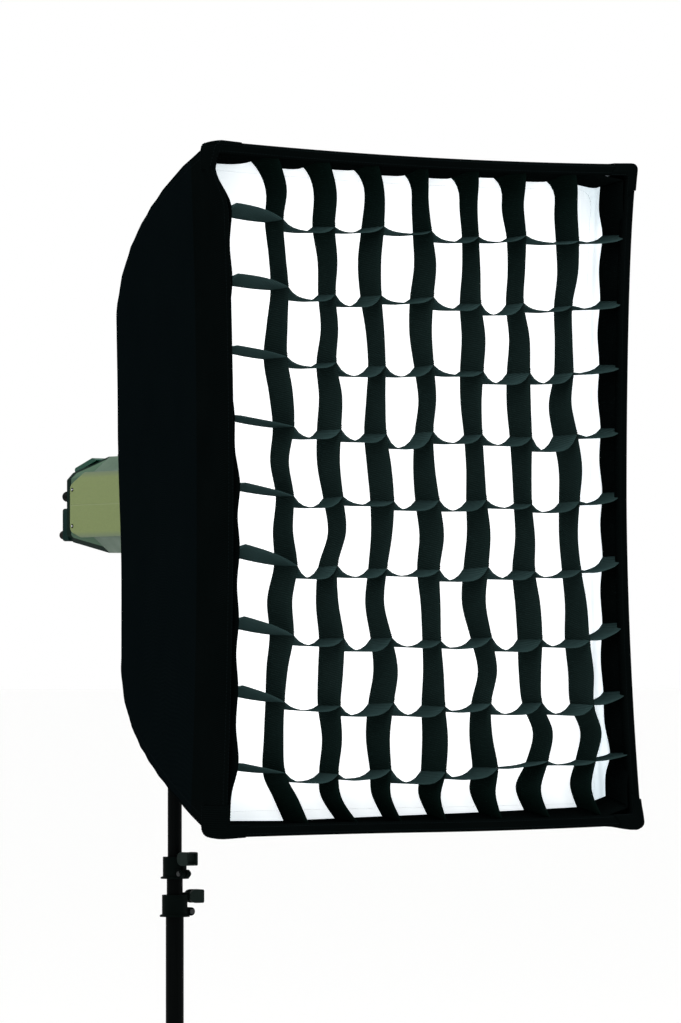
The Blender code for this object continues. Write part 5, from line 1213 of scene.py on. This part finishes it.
strips = {}
tacks = bmesh.new()
depth = GRID_FRONT - GRID_BACK
for name, count, upright in (("grid_uprights", COLUMNS + 1, True), ("grid_cross_strips", ROWS + 1, False)):
    shape = bmesh.new()
    for number in range(count):
        rows = strip_rows(number, upright)
        # The four strips of the border take the hem's black tape, so they read darker than the inner strips.
        lay_sheet(shape, rows, False, 1 if number in (0, count - 1) else 0)
        if upright and 0 < number < COLUMNS:
            for crossing_index in range(2 * UPRIGHT_STEPS, len(rows[-1]) - 1, 2 * UPRIGHT_STEPS):
                path = [rows[-1][crossing_index + step] + FORWARD * 0.0008 for step in (-1, 0, 1)]
                sew(tacks, path, FORWARD, 0.003, 0.0028, 0.0016)
    # The cross strips take the paler tape, painted light for their upper faces.
    tape = grid_tape if upright else lit_cross_tape
    strips[name] = thicken(make_piece(name, shape, "softbox", tape, hem_tape), 0.0011)
    strips[name].modifiers["cloth_thickness"].offset = 0
    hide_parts("egg_crate_grid")
make_piece("grid_bar_tacks", tacks, "softbox", thread)

# %% [markdown]
# ## Small fittings on the head
# The side plates are held by small screws, the dials have ribs for the fingers and a white pointer, and the
# plate behind them has a plain ring of marks. To sit exactly on the solid, each fitting is placed by a ray
# that is shot at the solid's own mesh: where it hits gives the point and the direction it faces.

# %% Helpers for fittings
BEHIND_HEAD = 0.6


def touch(node, start, heading):
    """The point and outward direction where a ray meets a solid."""
    hit, point, normal, _ = frame["nodes"][node].ray_cast(Vector(start), Vector(heading).normalized())
    if not hit:
        raise ValueError("no surface on " + node)
    return point, normal


def from_behind(node, x, z):
    """The same for a ray that is shot forward from behind the head."""
    return touch(node, (x, BEHIND_HEAD, z), FORWARD)


def from_above(node, y):
    """The same for a ray that is shot down from above the head, in its middle plane."""
    return touch(node, (0, y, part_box(node)[1].z + 0.05), (0, 0, -1))


def spun(shape, profile, place, outward, steps=24, finish=0):
    """Add a round fitting from (radius, height) pairs, standing on a point and facing outward."""
    turn = Z.rotation_difference(outward).to_matrix()
    rings = []
    for radius, height in profile:
        rings.append([
            place + turn @ Vector((radius * math.cos(angle), radius * math.sin(angle), height))
            for angle in turns(steps)
        ])
    corners = lay_sheet(shape, rings, True, finish)
    shape.faces.new(corners[-1][:steps]).material_index = finish


def bar(shape, centre, along, across, outward, size, finish=0):
    """Add a small bar with chamfered top edges; size is its length, width and height."""
    length, width, height = size
    rows = []
    for inset, rise in ((0.0, 0.0), (0.0, 0.7), (0.25, 1.0)):
        half_l, half_w = length / 2 - inset * width, width / 2 * (1 - inset)
        rows.append([
            centre + along * x + across * y + outward * rise * height
            for x, y in ((half_l, half_w), (-half_l, half_w), (-half_l, -half_w), (half_l, -half_w))])
    corners = lay_sheet(shape, rows, True, finish)
    shape.faces.new(corners[-1][:4]).material_index = finish
    for face in shape.faces:
        face.smooth = False


print("fitting helpers ready")

# %% Panel screws and marks on the control plate
screws = bmesh.new()
SCREW = [(0.0013, 0.0), (0.0013, 0.0010), (0.0010, 0.0013), (0.0006, 0.0013), (0.0005, 0.0007)]
# Under each screw head lies a black ring that paints the shade of its countersunk hole.
SHADE_RING = [(0.0031, 0.0), (0.0030, 0.0005), (0.0022, 0.0007), (0.0014, 0.0003)]
SCREW_STEPS = 18
for node, side in (("side_panel_left", -1), ("side_panel_right", 1)):
    for y, z in ((0.382, 1.604), (0.382, 1.547), (0.125, 1.604), (0.125, 1.547)):
        point, normal = touch(node, (side * 0.2, y, z), (-side, 0, 0))
        spun(screws, SHADE_RING, point, normal, SCREW_STEPS, 1)
        spun(screws, SCREW, point, normal, SCREW_STEPS)
for x in (-0.052, 0.052):
    point, normal = from_behind("power_block", x, AXIS_Z - 0.010)
    spun(screws, SCREW, point, normal, SCREW_STEPS)
screw_piece = make_piece("panel_screws", screws, "head", finishes["bright_steel"], finishes["knob_plastic"])
# Silk-screened ink: a thin flat white, a little rough.
ink = hard_finish("white_screen_ink", "#d6d9d8", "#c9cccb", 0.6, 0.6, 0.02)
marks = bmesh.new()
DIALS = ("power_dial", "lamp_dial")
for dial in DIALS:
    centre = middle(dial)
    for step in range(11):
        angle = math.radians(225 - 27 * step)
        out = X * math.cos(angle) + Z * math.sin(angle)
        spot = centre + out * 0.0107
        point, normal = from_behind("control_panel", spot.x, spot.z)
        bar(marks, point, out, out.cross(Y), Y, (0.0012, 0.0005, 0.0001))
marks_piece = make_piece("dial_marks", marks, "head", ink)
print("screws:", len(screw_piece.data.polygons), "faces; marks:", len(marks_piece.data.polygons) // 9)

# %% Ribbed grips and pointers of the dials
# The grip's points round the dial, four of them to a rib, and the depth of the grooves.
GRIP_POINTS, GROOVE = 96, 0.0007
for dial in DIALS:
    low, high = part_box(dial)
    centre = Vector(((low.x + high.x) / 2, 0, (low.z + high.z) / 2))
    grip = bmesh.new()
    rings = []
    for back, radius in ((0.0155, 0.0078), (0.0150, 0.0088), (0.0030, 0.0081), (0.0018, 0.0070)):
        ring = []
        for step, angle in enumerate(turns(GRIP_POINTS)):
            reach = radius - (GROOVE if step % 4 < 2 else 0.0)
            ring.append(centre + Vector((reach * math.cos(angle), high.y - back, reach * math.sin(angle))))
        rings.append(ring)
    lay_sheet(grip, rings, True)
    bar(grip, centre + Vector((0, high.y, 0.0032)), Z, X, Y, (0.0050, 0.0009, 0.0003), 1)
    make_piece(dial + "_grip", grip, dial, finishes["knob_plastic"], ink)
lamps = bmesh.new()
for x in (-0.0045, 0.0045):
    point, normal = from_behind("control_panel", x, AXIS_Z + 0.0205)
    spun(lamps, [(0.0019, 0.0), (0.0019, 0.0006), (0.0014, 0.0013), (0.0006, 0.0017)], point, normal, 16)
make_piece("ready_lamps", lamps, "head", finishes["sensor_plastic"])
print("dials have grips and pointers")

# %% Thumb ribs, handle pads and switch marks
ribs = bmesh.new()
latch_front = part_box("release_latch")[0].y
for step in range(3):
    point, normal = from_above("release_latch", latch_front + 0.0030 + 0.0022 * step)
    bar(ribs, point, X, Y, Z, (0.0130, 0.0010, 0.0006))
make_piece("latch_ribs", ribs, "release_latch", finishes["knob_plastic"])
pads = bmesh.new()
handle_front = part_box("carry_handle")[0].y
for step in range(5):
    point, normal = from_above("carry_handle", handle_front + 0.020 + 0.0062 * step)
    bar(pads, point, X, X.cross(normal) * -1, normal, (0.062, 0.0026, 0.0007))
make_piece("handle_grip_pads", pads, "head", finishes["rubber"])
switch = middle("rocker_switch")
# The marks stand this far above and below the switch's middle; the lower one is a ring of this radius.
MARK_RISE, MARK_RADIUS = 0.0050, 0.0019
symbols = bmesh.new()
point, normal = from_behind("rocker_switch", switch.x, switch.z + MARK_RISE)
bar(symbols, point, normal.cross(X), X, normal, (0.0045, 0.0008, 0.0001))
point, normal = from_behind("rocker_switch", switch.x, switch.z - MARK_RISE)
loop = [
    point + normal * 0.0001 + X * MARK_RADIUS * math.cos(a) + normal.cross(X) * MARK_RADIUS * math.sin(a)
    for a in [math.radians(15 * step) for step in range(25)]
]
lay_cord(symbols, loop, 0.00035, 5)
make_piece("switch_marks", symbols, "rocker_switch", ink)
print("thumb ribs, pads and switch marks placed")

# %% [markdown]
# ## Small fittings on the stand
# Rubber feet have raised rings so that they grip. The rings are spun about each leg's own axis, which runs
# from the leg's pivot to its foot, and they ride with the leg.

# %% Foot rings
pivots = {joint["name"]: Vector(joint["pos_m"]) for joint in frame["joints"] if "pos_m" in joint}
RING_PROFILE = [(0.0127, -0.0014), (0.0137, -0.0008), (0.0137, 0.0008), (0.0127, 0.0014)]
for side in ("front", "right", "left"):
    start = pivots["leg_" + side + "_swing"]
    axis = (middle("leg_" + side) - start).normalized()
    rings = bmesh.new()
    for distance in (0.714, 0.721, 0.728):
        spun(rings, RING_PROFILE, start + axis * distance, axis, 24)
    make_piece("foot_rings_" + side, rings, "leg_" + side, finishes["rubber"])
print("foot rings on three legs")

# %% [markdown]
# ## The floor
# A single pale sheet, wide enough to reach the horizon, stands for the studio floor. A faint mottle keeps it
# from looking like an empty plane.

# %% Floor
floor_finish = hard_finish("pale_studio_floor", "#ffffff", "#fcfcfb", 0.8, 8.0, 0.05)
ground = bmesh.new()
FLOOR_LINES, FLOOR_DROP = (-400, -4, 4, 400), 0.0005
lay_sheet(ground, [[Vector((x, y, -FLOOR_DROP)) for x in FLOOR_LINES] for y in FLOOR_LINES])
floor = make_object("studio_floor", ground, floor_finish)
print("floor laid")
